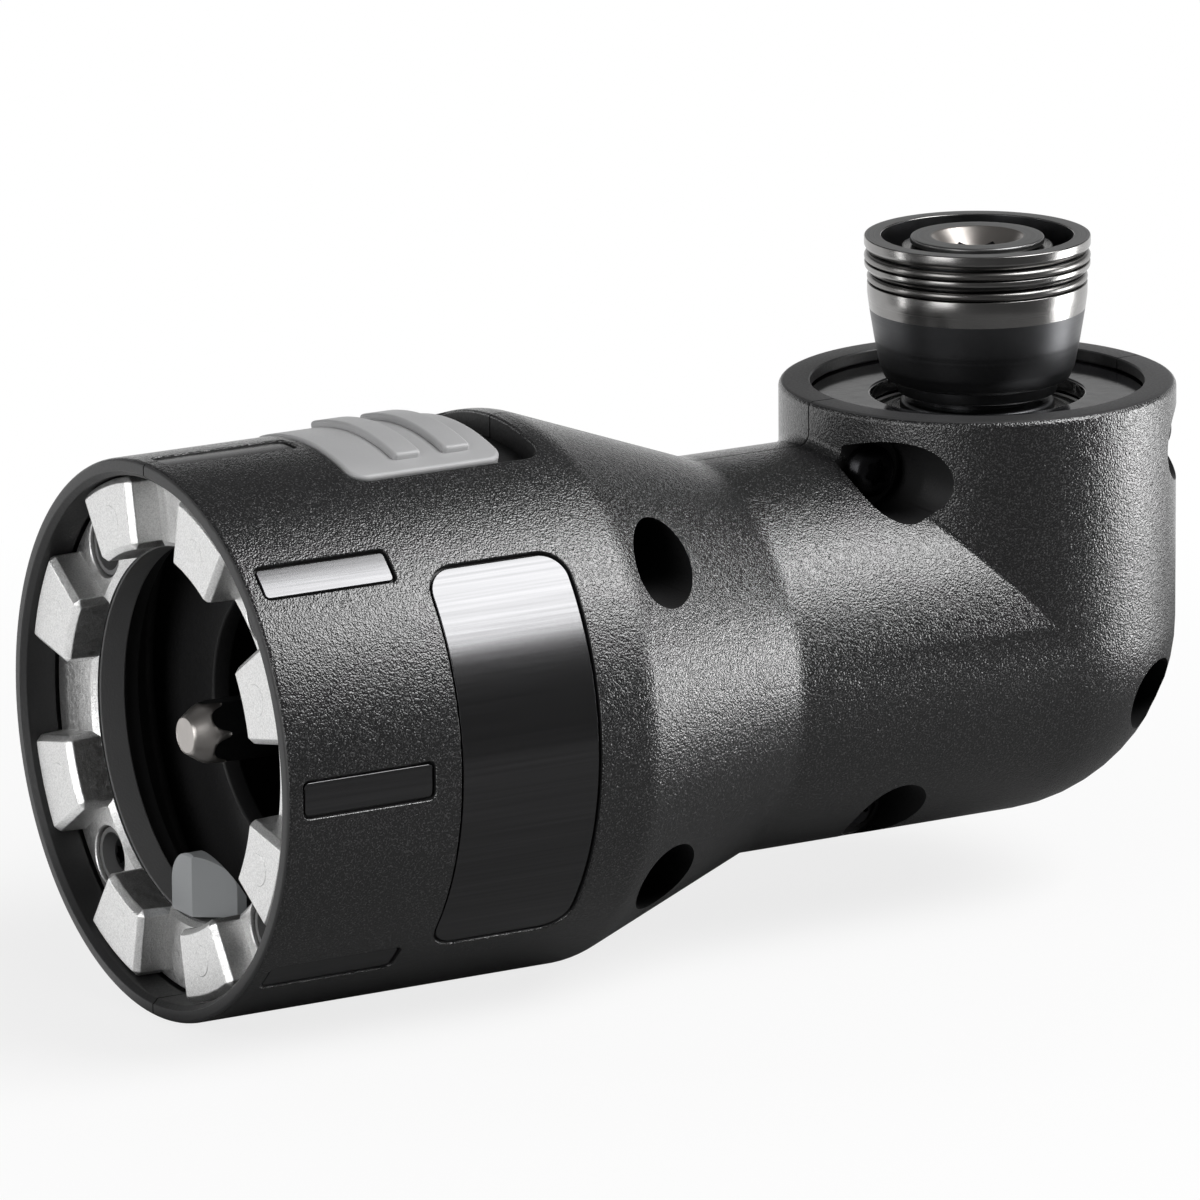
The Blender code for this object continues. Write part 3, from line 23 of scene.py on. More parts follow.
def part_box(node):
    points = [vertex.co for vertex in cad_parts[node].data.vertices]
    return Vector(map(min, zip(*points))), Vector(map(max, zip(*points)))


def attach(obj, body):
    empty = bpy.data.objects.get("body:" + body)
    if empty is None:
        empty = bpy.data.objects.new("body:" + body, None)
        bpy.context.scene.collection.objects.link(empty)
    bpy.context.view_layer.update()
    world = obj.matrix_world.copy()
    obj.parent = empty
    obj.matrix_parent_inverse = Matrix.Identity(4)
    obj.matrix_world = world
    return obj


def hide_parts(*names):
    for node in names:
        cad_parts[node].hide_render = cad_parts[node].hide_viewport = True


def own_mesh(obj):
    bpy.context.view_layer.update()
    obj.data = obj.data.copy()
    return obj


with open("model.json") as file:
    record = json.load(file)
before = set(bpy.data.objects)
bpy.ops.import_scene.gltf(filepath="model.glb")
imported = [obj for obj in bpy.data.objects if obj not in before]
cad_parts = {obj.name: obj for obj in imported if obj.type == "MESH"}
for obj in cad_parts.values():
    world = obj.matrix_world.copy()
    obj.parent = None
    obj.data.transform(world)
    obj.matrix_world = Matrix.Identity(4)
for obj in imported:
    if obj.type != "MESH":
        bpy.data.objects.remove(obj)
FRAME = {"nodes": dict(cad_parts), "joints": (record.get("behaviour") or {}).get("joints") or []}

LOG = logging.getLogger("angle_attachment")
MM = 0.001
HAIR = 1e-6

Profile = list[tuple[float, float]]
Corner = tuple[float, float, float]
Surface = Callable[[np.ndarray], tuple[np.ndarray, np.ndarray]]


def joint_place(name: str) -> Vector:
    """Place of a hinge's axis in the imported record."""
    return Vector(next(j["pos_m"] for j in FRAME["joints"] if j["name"] == name))


def box_size(node: str) -> Vector:
    """Edge lengths of a CAD node's box."""
    low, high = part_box(node)
    return high - low


OUTPUT_X = joint_place("output_spin").x


class Axis(Enum):
    """Axes that shapes are turned about, as the along, first and second directions."""

    DRIVE = ((1, 0, 0), (0, 0, 1), (0, -1, 0))
    OUTPUT = ((0, 0, 1), (1, 0, 0), (0, 1, 0))
    ACROSS = ((0, 1, 0), (0, 0, 1), (1, 0, 0))

    def point(self, station: float, radius: float, turn: float, at: Vector) -> Vector:
        """Point at a station, radius and turn in radians about this axis through at."""
        along, first, second = (Vector(v) for v in self.value)
        return at + along * station + first * radius * math.cos(turn) + second * radius * math.sin(turn)


ON_DRIVE = Vector((0.0, 0.0, 0.0))
ON_OUTPUT = Vector((OUTPUT_X, 0.0, 0.0))


# Profiles and meshes


def filleted(corners: Sequence[Corner], closed: bool = False, segments: int = 5) -> Profile:
    """Round the corners of a profile.

    Args:
        corners: Points as (station, radius, fillet), where a fillet of 0 stays sharp.
        closed: Whether the profile closes on itself and not on the axis.
        segments: Straight pieces in each fillet.

    Returns:
        The profile's points.
    """
    points: Profile = []
    count = len(corners)
    for i, (station, radius, fillet) in enumerate(corners):
        if fillet <= 0 or (not closed and i in (0, count - 1)):
            points.append((station, radius))
            continue
        here = Vector((station, radius))
        back = (Vector(corners[i - 1][:2]) - here).normalized()
        ahead = (Vector(corners[(i + 1) % count][:2]) - here).normalized()
        half = back.angle(ahead) / 2
        centre = here + (back + ahead).normalized() * (fillet / math.sin(half))
        start = here + back * (fillet / math.tan(half)) - centre
        end = here + ahead * (fillet / math.tan(half)) - centre
        sweep = math.atan2(start.x * end.y - start.y * end.x, start.dot(end))
        for k in range(segments + 1):
            spoke = Matrix.Rotation(sweep * k / segments, 2) @ start
            points.append(tuple(centre + spoke))
    return points


def add_object(name: str, mesh: Mesh) -> Object:
    """Link a new object that shows a mesh."""
    obj = bpy.data.objects.new(name, mesh)
    bpy.context.scene.collection.objects.link(obj)
    return obj


def object_from(name: str, bm: bmesh.types.BMesh) -> Object:
    """Merge the doubles of a closed bmesh, point its faces outwards and make it an object."""
    bmesh.ops.remove_doubles(bm, verts=bm.verts, dist=1e-7)
    bmesh.ops.dissolve_degenerate(bm, dist=1e-7, edges=bm.edges)
    bmesh.ops.recalc_face_normals(bm, faces=bm.faces[:])
    mesh = bpy.data.meshes.new(name)
    bm.to_mesh(mesh)
    bm.free()
    return add_object(name, mesh)


def bridge(bm: bmesh.types.BMesh, a: Sequence[BMVert], b: Sequence[BMVert]) -> None:
    """Add the faces between two closed rings of as many vertices."""
    for k in range(len(a)):
        after = (k + 1) % len(a)
        bm.faces.new((a[k], a[after], b[after], b[k]))


def revolve(name: str, profile: Profile, axis: Axis, at: Vector, steps: int = 128) -> Object:
    """Turn a profile into a closed solid.

    Args:
        name: Name of the object.
        profile: Points (station, radius), ending on the axis or closing on itself.
        axis: Direction of the axis.
        at: Point on the axis from which stations count.
        steps: Faces round the axis.

    Returns:
        The turned object.
    """
    bm = bmesh.new()
    rings = []
    for station, radius in profile:
        count = steps if radius > 1e-7 else 1
        turns = [2 * math.pi * (k + 0.5) / steps for k in range(count)]
        rings.append([bm.verts.new(axis.point(station, radius, t, at)) for t in turns])
    if len(rings[0]) > 1:
        rings.append(rings[0])
    for a, b in zip(rings, rings[1:]):
        for k in range(steps if max(len(a), len(b)) > 1 else 0):
            corners = [a[k % len(a)], a[(k + 1) % len(a)], b[(k + 1) % len(b)], b[k % len(b)]]
            bm.faces.new(list(dict.fromkeys(corners)))
    return object_from(name, bm)


def rod(name: str, stations: tuple[float, float], radius: float, axis: Axis, at: Vector,
        segments: int) -> Object:
    """Solid cylinder between two stations of an axis."""
    start, end = stations
    return revolve(name, [(start, 0.0), (start, radius), (end, radius), (end, 0.0)], axis, at, segments)


def prism(name: str, outline: Sequence[Vector], reach: Vector) -> Object:
    """Sweep a flat outline in a straight line into a closed solid."""
    bm = bmesh.new()
    face = bm.faces.new([bm.verts.new(p) for p in outline])
    made = bmesh.ops.extrude_face_region(bm, geom=[face], use_keep_orig=True)
    top = [v for v in made["geom"] if isinstance(v, BMVert)]
    bmesh.ops.translate(bm, vec=reach, verts=top)
    return object_from(name, bm)


def block(name: str, low: Sequence[float], high: Sequence[float]) -> Object:
    """Straight block between two corners, as a tool for cutting and joining."""
    (x0, y0, z0), (x1, y1, z1) = low, high
    outline = [Vector(p) for p in ((x0, y0, z0), (x1, y0, z0), (x1, y1, z0), (x0, y1, z0))]
    return prism(name, outline, Vector((0, 0, z1 - z0)))


@dataclass(frozen=True)
class Patch:
    """Rounded rectangle laid on the sleeve.

    Attributes:
        middle: Angle of its middle in degrees.
        half_angle: Half its extent round the sleeve in degrees.
        start: Station of its front edge.
        end: Station of its rear edge.
        corner: Radius of its corners.
        on_radius: Radius at which its size is true.
    """

    middle: float
    half_angle: float
    start: float
    end: float
    corner: float
    on_radius: float

    def outline(self, inset: float, columns: int, corner_steps: int) -> list[tuple[float, float, float]]:
        """Rows of (turn in radians, front station, rear station), each edge moved inwards."""
        corner = max(self.corner - inset, 0.02 * MM)
        reach = math.radians(self.half_angle) * self.on_radius - inset
        front, rear = self.start + inset, self.end - inset
        straight = reach - corner
        places = [(straight * (2 * i / columns - 1), 0.0) for i in range(columns + 1)]
        arc = [math.pi / 2 * i / corner_steps for i in range(1, corner_steps + 1)]
        rounded = [(straight + corner * math.sin(t), corner * (1 - math.cos(t))) for t in arc]
        places = [(-s, dx) for s, dx in reversed(rounded)] + places + rounded
        middle = math.radians(self.middle)
        return [(middle + s / self.on_radius, front + dx, rear - dx) for s, dx in places]

    def solid(self, name: str, layers: Sequence[tuple[float, float]], columns: int = 24,
              corner_steps: int = 8) -> Object:
        """Stack outlines into a closed solid.

        Args:
            name: Name of the object.
            layers: Pairs of (inset, radius) from the inside outwards.
            columns: Columns between the rounded corners.
            corner_steps: Columns in each rounded corner.

        Returns:
            The solid, bent round the drive axis.
        """
        bm = bmesh.new()
        loops = []
        for inset, radius in layers:
            rows = self.outline(inset, columns, corner_steps)
            front = [bm.verts.new(Axis.DRIVE.point(x, radius, t, ON_DRIVE)) for t, x, _ in rows]
            rear = [bm.verts.new(Axis.DRIVE.point(x, radius, t, ON_DRIVE)) for t, _, x in rows]
            loops.append((front, rear))
        for (front_a, rear_a), (front_b, rear_b) in zip(loops, loops[1:]):
            bridge(bm, front_a + rear_a[::-1], front_b + rear_b[::-1])
        for front, rear in (loops[0], loops[-1]):
            for k in range(len(front) - 1):
                bm.faces.new((front[k], front[k + 1], rear[k + 1], rear[k]))
        return object_from(name, bm)


def rounded_layers(floor: float, top: float, edge: float, segments: int = 3) -> list[tuple[float, float]]:
    """Layers of a plate from its floor to its top, with the top edge rounded."""
    turns = [math.pi / 2 * i / segments for i in range(segments + 1)]
    arc = [(edge * (1 - math.cos(t)), top - edge * (1 - math.sin(t))) for t in turns]
    return [(0.0, floor)] + arc


def flared_layers(floor: float, skin: float, edge: float, past: float) -> list[tuple[float, float]]:
    """Layers of a recess cutter whose mouth is eased where it meets the skin."""
    turns = [math.pi / 2 * i / 3 for i in range(4)]
    arc = [(-edge * (1 - math.cos(t)), skin - edge * (1 - math.sin(t))) for t in turns]
    return [(0.0, floor)] + arc + [(-edge * 1.2, past)]


def evaluated(obj: Object) -> Mesh:
    """Mesh of an object with its modifiers applied."""
    bpy.context.view_layer.update()
    return bpy.data.meshes.new_from_object(obj.evaluated_get(bpy.context.evaluated_depsgraph_get()))


def settle(obj: Object) -> Object:
    """Apply an object's modifiers and remove them."""
    mesh = evaluated(obj)
    obj.modifiers.clear()
    obj.data = mesh
    return obj


def combine(target: Object, tools: Iterable[Object], operation: str) -> Object:
    """Apply exact Booleans with the tools, which are then removed."""
    tools = list(tools)
    for tool in tools:
        modifier = target.modifiers.new(tool.name, "BOOLEAN")
        modifier.operation = operation
        modifier.solver = "EXACT"
        modifier.object = tool
    settle(target)
    for tool in tools:
        bpy.data.objects.remove(tool, do_unlink=True)
    return target


def cut(target: Object, *tools: Object) -> Object:
    """Cut the tools from the target."""
    return combine(target, tools, "DIFFERENCE")


def join(target: Object, *tools: Object) -> Object:
    """Join the tools to the target."""
    return combine(target, tools, "UNION")


def eased(obj: Object, width: float, segments: int = 2, angle: float = 40.0) -> Object:
    """Round the edges that are sharper than an angle in degrees."""
    modifier = obj.modifiers.new("eased edges", "BEVEL")
    modifier.width = width
    modifier.segments = segments
    modifier.limit_method = "ANGLE"
    modifier.angle_limit = math.radians(angle)
    modifier.harden_normals = False
    return settle(obj)


def shade(obj: Object, angle: float = 32.0) -> Object:
    """Smooth the faces, keep edges sharp past an angle and let large faces rule the normals."""
    obj.data.shade_smooth()
    obj.data.set_sharp_from_angle(angle=math.radians(angle))
    modifier = obj.modifiers.new("face weights", "WEIGHTED_NORMAL")
    modifier.keep_sharp = True
    modifier.weight = 60
    return settle(obj)


def values_of(items: object, name: str, width: int, kind: type = float) -> np.ndarray:
    """A value, or a vector of some width, for every item of a mesh."""
    values = np.zeros(len(items) * width, kind)
    items.foreach_get(name, values)
    return values.reshape(-1, width) if width > 1 else values


def shade_on(obj: Object, surfaces: Sequence[Surface], near: float = 0.03 * MM) -> Object:
    """Give corners that lie on exact surfaces the normals of those surfaces.

    Args:
        obj: Object to shade.
        surfaces: Functions from points to their distances and normals.
        near: Distance within which a corner counts as on a surface.

    Returns:
        The same object.
    """
    mesh = obj.data
    mesh.shade_smooth()
    mesh.set_sharp_from_angle(angle=math.radians(30.0))
    normals = values_of(mesh.corner_normals, "vector", 3)
    places = values_of(mesh.vertices, "co", 3)[values_of(mesh.loops, "vertex_index", 1, int)]
    facing = np.repeat(values_of(mesh.polygons, "normal", 3),
                       values_of(mesh.polygons, "loop_total", 1, int), axis=0)
    for surface in surfaces:
        distance, exact = surface(places)
        agrees = np.einsum("ij,ij->i", exact, facing) > 0.93
        chosen = (np.abs(distance) < near) & agrees
        normals[chosen] = exact[chosen]
    mesh.normals_split_custom_set(normals.tolist())
    return obj


# Exact surfaces of the housing


def turned_surface(profile: Profile, until: float) -> Surface:
    """Surface of revolution about the drive axis, from its profile's rising stations."""
    stations = np.array([p[0] for p in profile])
    radii = np.array([p[1] for p in profile])
    slopes = np.gradient(radii, stations)

    def surface(points: np.ndarray) -> tuple[np.ndarray, np.ndarray]:
        """Distance and normal of each point."""
        radial = np.hypot(points[:, 1], points[:, 2])
        slope = np.interp(points[:, 0], stations, slopes)
        distance = radial - np.interp(points[:, 0], stations, radii)
        distance[(points[:, 0] > until) | (points[:, 0] < stations[0])] = 1.0
        safe = np.maximum(radial, 1e-9)
        normal = np.stack([-slope, points[:, 1] / safe, points[:, 2] / safe], axis=1)
        return distance, normal / np.linalg.norm(normal, axis=1, keepdims=True)

    return surface


def round_surface(radius: float, top: float = 0.0) -> Surface:
    """Cylinder about the output axis up to its top, or without a top the ball behind and below it."""

    def surface(points: np.ndarray) -> tuple[np.ndarray, np.ndarray]:
        """Distance and normal of each point."""
        away = points - np.array(ON_OUTPUT)
        if top > 0.0:
            past = (away[:, 2] < -HAIR) | (away[:, 2] > top)
            away[:, 2] = 0.0
        else:
            past = (away[:, 0] < -HAIR) | (away[:, 2] > HAIR)
        radial = np.maximum(np.linalg.norm(away, axis=1), 1e-9)
        return np.where(past, 1.0, radial - radius), away / radial[:, None]

    return surface


# Finishes


class Nodes:
    """A node tree being made, with short calls that add nodes."""

    def __init__(self, tree: NodeTree) -> None:
        """Start with a tree."""
        self.tree = tree

    def node(self, kind: str, inputs: dict[str | int, object], **options: object) -> Node:
        """Add a node.

        Args:
            kind: Its type.
            inputs: Values or sockets by input name or number.
            options: Settings of the node itself.

        Returns:
            The node.
        """
        node = self.tree.nodes.new(kind)
        for key, value in options.items():
            setattr(node, key, value)
        for key, value in inputs.items():
            if isinstance(value, NodeSocket):
                self.tree.links.new(value, node.inputs[key])
            else:
                node.inputs[key].default_value = value
        return node

    def maths(self, operation: str, *values: object) -> NodeSocket:
        """Outcome of a sum on numbers."""
        return self.node("ShaderNodeMath", dict(enumerate(values)), operation=operation).outputs[0]

    def vector_maths(self, operation: str, *values: object) -> NodeSocket:
        """Outcome of a sum on vectors: a number for a length or a dot product, else a vector."""
        made = self.node("ShaderNodeVectorMath", dict(enumerate(values)), operation=operation)
        return made.outputs["Value" if operation in ("LENGTH", "DOT_PRODUCT") else "Vector"]

    def ranged(self, value: NodeSocket, span: Sequence[float],
               to: Sequence[float] = (0.0, 1.0)) -> NodeSocket:
        """Value mapped from one span to another, held at its ends."""
        inputs = {"Value": value, "From Min": span[0], "From Max": span[1], "To Min": to[0], "To Max": to[1]}
        return self.node("ShaderNodeMapRange", inputs).outputs[0]


class Sketch(Nodes):
    """A material being made, with its Principled shader."""

    def __init__(self, name: str, colour: Sequence[float], roughness: float, metallic: float = 0.0) -> None:
        """Start a material with one colour, roughness and metallic value."""
        self.material: Material = bpy.data.materials.new(name)
        self.material.use_nodes = True
        super().__init__(self.material.node_tree)
        self.shader: Node = self.tree.nodes["Principled BSDF"]
        self.shader.inputs["Base Color"].default_value = (*colour, 1.0)
        self.shader.inputs["Roughness"].default_value = roughness
        self.shader.inputs["Metallic"].default_value = metallic

    def place(self, scale: Sequence[float] = (1.0, 1.0, 1.0), centre: Vector = ON_DRIVE) -> NodeSocket:
        """Object coordinates about a centre, stretched along each axis."""
        source = self.node("ShaderNodeTexCoord", {}).outputs["Object"]
        return self.vector_maths("MULTIPLY", self.vector_maths("SUBTRACT", source, centre), scale)

    def rings(self, axis: Axis, at: Vector) -> NodeSocket:
        """Coordinates (radius, station, 0) about an axis, for marks of turning."""
        parts = self.node("ShaderNodeSeparateXYZ", {0: self.place(centre=at)})
        along, first, second = {Axis.DRIVE: (0, 1, 2), Axis.OUTPUT: (2, 0, 1), Axis.ACROSS: (1, 0, 2)}[axis]
        flat = self.node("ShaderNodeCombineXYZ", {0: parts.outputs[first], 1: parts.outputs[second]})
        radius = self.vector_maths("LENGTH", flat.outputs[0])
        return self.node("ShaderNodeCombineXYZ", {0: radius, 1: parts.outputs[along]}).outputs[0]

    def noise(self, place: NodeSocket, size: float, detail: float = 2.0) -> NodeSocket:
        """Noise with grains of a size in metres."""
        inputs = {"Vector": place, "Scale": 1.0 / size, "Detail": detail, "Roughness": 0.55}
        return self.node("ShaderNodeTexNoise", inputs).outputs[0]

    def bump(self, height: NodeSocket, depth: float) -> None:
        """Raise the surface by a height of so many metres, over any bump made before."""
        node = self.node("ShaderNodeBump", {"Height": height, "Distance": depth, "Strength": 1.0})
        before = self.shader.inputs["Normal"].links
        if before:
            self.tree.links.new(before[0].from_socket, node.inputs["Normal"])
        self.tree.links.new(node.outputs[0], self.shader.inputs["Normal"])

    def rough(self, value: NodeSocket) -> None:
        """Let a value set the roughness."""
        self.tree.links.new(value, self.shader.inputs["Roughness"])

    def tint(self, share: NodeSocket, dark: Sequence[float], light: Sequence[float]) -> None:
        """Let a value mix two colours for the surface."""
        mix = self.node("ShaderNodeMix", {"Factor": share}, data_type="RGBA")
        for socket in mix.inputs:
            if socket.type == "RGBA":
                socket.default_value = (*(dark if socket.name == "A" else light), 1.0)
        colour = next(s for s in mix.outputs if s.type == "RGBA")
        self.tree.links.new(colour, self.shader.inputs["Base Color"])


@dataclass(frozen=True)
class Finish:
    """Name, main colour and roughness of a finish."""

    name: str
    colour: tuple[float, float, float]
    roughness: float

    def sketch(self, metallic: float = 0.0) -> Sketch:
        """Start the material."""
        return Sketch(self.name, self.colour, self.roughness, metallic)

    def shades(self, dark: float, light: float) -> tuple[list[float], list[float]]:
        """The colour times two factors."""
        return [c * dark for c in self.colour], [min(1.0, c * light) for c in self.colour]


@dataclass(frozen=True)
class SparkErodedPlastic(Finish):
    """Moulded plastic with the coarse glinting grain of a spark-eroded mould, its raised grains painted
    lighter as painted glints.
    """

    light: tuple[float, float, float]
    grain: float
    depth: float

    def material(self) -> Material:
        """Build the material."""
        sketch = self.sketch()
        sketch.shader.inputs["Specular IOR Level"].default_value = 1.0
        place = sketch.place()
        grain = sketch.noise(place, self.grain, 1.0)
        sketch.bump(sketch.noise(place, self.grain * 3.0, 1.0), self.depth * 0.5)
        sketch.bump(grain, self.depth)
        # painted glints: the raised grains of the bump get the lighter colour
        sketch.tint(sketch.ranged(grain, (0.5, 0.72)), self.colour, self.light)
        return sketch.material


@dataclass(frozen=True)
class SatinPlastic(Finish):
    """Smooth moulded plastic with a faint grain."""

    grain: float
    depth: float

    def material(self) -> Material:
        """Build the material."""
        sketch = self.sketch()
        place = sketch.place()
        grain = sketch.noise(place, self.grain)
        sketch.bump(grain, self.depth)
        sketch.tint(sketch.noise(place, self.grain * 40), *self.shades(0.88, 1.18))
        sketch.rough(sketch.ranged(grain, (0.3, 0.7), (self.roughness - 0.05, self.roughness + 0.07)))
        return sketch.material


@dataclass(frozen=True)
class CastMetal(Finish):
    """Cast and tumbled aluminium with a fine sandy skin."""

    grain: float
    depth: float

    def material(self) -> Material:
        """Build the material."""
        sketch = self.sketch(1.0)
        place = sketch.place()
        sand = sketch.noise(place, self.grain, 3.0)
        pits = sketch.noise(place, self.grain * 3.5)
        sketch.bump(sand, self.depth)
        sketch.bump(pits, self.depth * 1.5)
        sketch.tint(sketch.ranged(sand, (0.3, 0.7)), *self.shades(0.8, 1.12))
        sketch.rough(sketch.ranged(pits, (0.3, 0.7), (self.roughness - 0.06, self.roughness + 0.08)))
        return sketch.material


@dataclass(frozen=True)
class TurnedMetal(Finish):
    """Metal with the fine rings that a lathe leaves."""

    axis: Axis
    at: Vector
    line: float = 0.08 * MM
    depth: float = 0.0015 * MM

    def material(self) -> Material:
        """Build the material."""
        sketch = self.sketch(1.0)
        lines = sketch.noise(sketch.rings(self.axis, self.at), self.line)
        sketch.bump(lines, self.depth)
        sketch.rough(sketch.ranged(lines, (0.25, 0.75), (self.roughness * 0.8, self.roughness * 1.25)))
        sketch.tint(sketch.noise(sketch.place(), 1.8 * MM, 3.0), *self.shades(0.85, 1.1))
        return sketch.material


@dataclass(frozen=True)
class BrushedInlay(Finish):
    """Dark metal skin brushed along the drive axis."""

    light: tuple[float, float, float]
    streak: float = 0.07 * MM
    stretch: float = 0.012
    depth: float = 0.0014 * MM

    def material(self) -> Material:
        """Build the material."""
        sketch = self.sketch(1.0)
        along = sketch.place((self.stretch, 1.0, 1.0))
        streaks = sketch.noise(along, self.streak, 3.0)
        broad = sketch.noise(along, self.streak * 6)
        sketch.bump(streaks, self.depth)
        sketch.tint(sketch.ranged(broad, (0.2, 0.8)), self.colour, self.light)
        sketch.rough(sketch.ranged(streaks, (0.3, 0.7), (self.roughness * 0.9, self.roughness * 1.1)))
        return sketch.material


@dataclass(frozen=True)
class GlossyPlastic(Finish):
    """Smooth black plastic with a slight waviness and hair scratches."""

    def material(self) -> Material:
        """Build the material."""
        sketch = self.sketch()
        scratches = sketch.noise(sketch.place((0.04, 1.0, 1.0)), 0.1 * MM, 3.0)
        sketch.bump(sketch.noise(sketch.place(), 3.0 * MM), 0.01 * MM)
        sketch.bump(scratches, 0.0008 * MM)
        sketch.rough(sketch.ranged(scratches, (0.5, 0.8), (self.roughness, self.roughness + 0.12)))
        return sketch.material


class Finishes:
    """Every finish of the attachment, made once."""

    def __init__(self) -> None:
        """Make the materials."""
        drive, output = (Axis.DRIVE, ON_DRIVE), (Axis.OUTPUT, ON_OUTPUT)
        # the housing's second colour is the painted glint colour of its raised grains
        self.housing = SparkErodedPlastic("charcoal sparked plastic", (0.01, 0.01, 0.0105), 0.21,
                                          (0.062, 0.062, 0.063), 0.21 * MM, 0.09 * MM).material()
        self.inner, self.guide, self.land, self.button, self.hook = (
            SatinPlastic(name, colour, roughness, grain * MM, depth * MM).material()
            for name, colour, roughness, grain, depth in (
                # painted shade: the smooth black inner plastic is darkened so that pockets, hollows and the
                # yoke read dark
                ("black inner plastic", (0.014, 0.014, 0.0145), 0.5, 0.3, 0.02),
                # painted light: the guide's grey is raised well above the housing's charcoal, so that the
                # shaded mouth reads lit
                ("grained guide plastic", (0.17, 0.17, 0.171), 0.42, 0.28, 0.03),
                ("smooth lands", (0.04, 0.04, 0.041), 0.42, 0.3, 0.006),
                ("grey button plastic", (0.42, 0.42, 0.425), 0.42, 0.25, 0.006),
                ("grey latch plastic", (0.4, 0.415, 0.425), 0.4, 0.3, 0.004)))
        self.polished, self.black, self.spring, self.bearing, self.annulus, self.grip = (
            TurnedMetal(name, colour, roughness, *output).material()
            for name, colour, roughness in (
                ("gunmetal bands", (0.28, 0.275, 0.27), 0.23),
                ("black oxide", (0.085, 0.086, 0.09), 0.36),
                ("spring wire", (0.4, 0.4, 0.4), 0.3),
                ("bearing steel", (0.6, 0.6, 0.59), 0.25),
                ("faced tops", (0.22, 0.22, 0.22), 0.36),
                ("dark grip rings", (0.2, 0.195, 0.19), 0.27)))
        self.spindle = TurnedMetal("spindle steel", (0.38, 0.355, 0.335), 0.38, *output, 0.1 * MM,
                                   0.0006 * MM).material()
        self.shaft = TurnedMetal("shaft steel", (0.5, 0.475, 0.455), 0.34, *drive).material()
        self.bronze = TurnedMetal("sintered bronze", (0.45, 0.3, 0.15), 0.45, *drive).material()
        self.screw = TurnedMetal("black screws", (0.03, 0.03, 0.032), 0.3, Axis.ACROSS,
                                 ON_DRIVE).material()
        self.cast = CastMetal("cast aluminium", (0.82, 0.82, 0.815), 0.4, 0.17 * MM,
                              0.022 * MM).material()
        self.cover = GlossyPlastic("gloss black cover", (0.008, 0.008, 0.009), 0.1).material()
        self.inlay = BrushedInlay("brushed dark inlay", (0.09, 0.09, 0.092), 0.22,
                                  (0.13, 0.13, 0.133)).material()


# Trees that repeat pieces


class Tree(Nodes):
    """A Geometry Nodes tree with named inputs, which ends in real geometry and a material."""

    def __init__(self, name: str, inputs: dict[str, str]) -> None:
        """Start a tree.

        Args:
            name: Name of the tree.
            inputs: Kind of each named input, such as Float, Int or Object.
        """
        super().__init__(bpy.data.node_groups.new(name, "GeometryNodeTree"))
        interface = self.tree.interface
        for way in ("OUTPUT", "INPUT"):
            interface.new_socket("Geometry", in_out=way, socket_type="NodeSocketGeometry")
        self.entry: Node = self.tree.nodes.new("NodeGroupInput")
        self.sockets: dict[str, str] = {}
        for key, kind in {**inputs, "Material": "Material"}.items():
            item = interface.new_socket(key, in_out="INPUT", socket_type="NodeSocket" + kind)
            self.sockets[key] = item.identifier

    def given(self, name: str) -> NodeSocket:
        """The named input inside the tree."""
        return self.entry.outputs[name]

    def close(self, instances: NodeSocket) -> None:
        """End the tree: realise the instances and set their material."""
        real = self.node("GeometryNodeRealizeInstances", {"Geometry": instances})
        finished = self.node("GeometryNodeSetMaterial",
                             {"Geometry": real.outputs[0], "Material": self.given("Material")})
        self.node("NodeGroupOutput", {"Geometry": finished.outputs[0]})

    def run(self, name: str, base: Mesh, values: dict[str, object]) -> Object:
        """Run the tree on a base mesh.

        Args:
            name: Name of the resulting piece.
            base: Mesh that the modifier starts from.
            values: Values of the named inputs.

        Returns:
            The piece as a plain mesh.
        """
        obj = add_object(name, base)
        modifier = obj.modifiers.new("tree", "NODES")
        modifier.node_group = self.tree
        for key, value in values.items():
            modifier[self.sockets[key]] = value
        return settle(obj)


def round_the_drive_axis() -> Tree:
    """Tree that repeats a piece at even angles round the drive axis."""
    tree = Tree("round the drive axis", {"Piece": "Object", "Count": "Int", "First Angle": "Float"})
    points = tree.node("GeometryNodePoints", {"Count": tree.given("Count")})
    piece = tree.node("GeometryNodeObjectInfo", {"Object": tree.given("Piece")})
    index = tree.node("GeometryNodeInputIndex", {}).outputs[0]
    pitch = tree.maths("DIVIDE", 2 * math.pi, tree.given("Count"))
    turn = tree.maths("MULTIPLY_ADD", index, pitch, tree.given("First Angle"))
    spin = tree.node("ShaderNodeCombineXYZ", {"X": turn})
    placed = tree.node("GeometryNodeInstanceOnPoints", {
        "Points": points.outputs[0], "Instance": piece.outputs["Geometry"], "Rotation": spin.outputs[0]})
    tree.close(placed.outputs[0])
    return tree


def repeated(name: str, piece: Object, count: int, first: float, material: Material) -> Object:
    """Repeat a piece at even angles from the first one, and remove the original."""
    made = round_the_drive_axis().run(name, bpy.data.meshes.new(name), {
        "Piece": piece, "Count": count, "First Angle": first, "Material": material})
    bpy.data.objects.remove(piece, do_unlink=True)
    return made


def at_every_seat() -> Tree:
    """Tree that sets a screw at every vertex, each turned by chance about its own axis."""
    tree = Tree("at every seat", {"Piece": "Object", "Axis": "Vector", "Seed": "Int"})
    piece = tree.node("GeometryNodeObjectInfo", {"Object": tree.given("Piece")})
    chance = tree.node("FunctionNodeRandomValue", {"Seed": tree.given("Seed")}, data_type="FLOAT")
    floats = [s for s in chance.inputs if s.type == "VALUE"]
    floats[0].default_value, floats[1].default_value = 0.0, math.pi
    number = next(s for s in chance.outputs if s.type == "VALUE")
    spin = tree.node("FunctionNodeAxisAngleToRotation", {"Axis": tree.given("Axis"), "Angle": number})
    placed = tree.node("GeometryNodeInstanceOnPoints", {
        "Points": tree.given("Geometry"), "Instance": piece.outputs["Geometry"], "Rotation": spin.outputs[0]})
    tree.close(placed.outputs[0])
    return tree


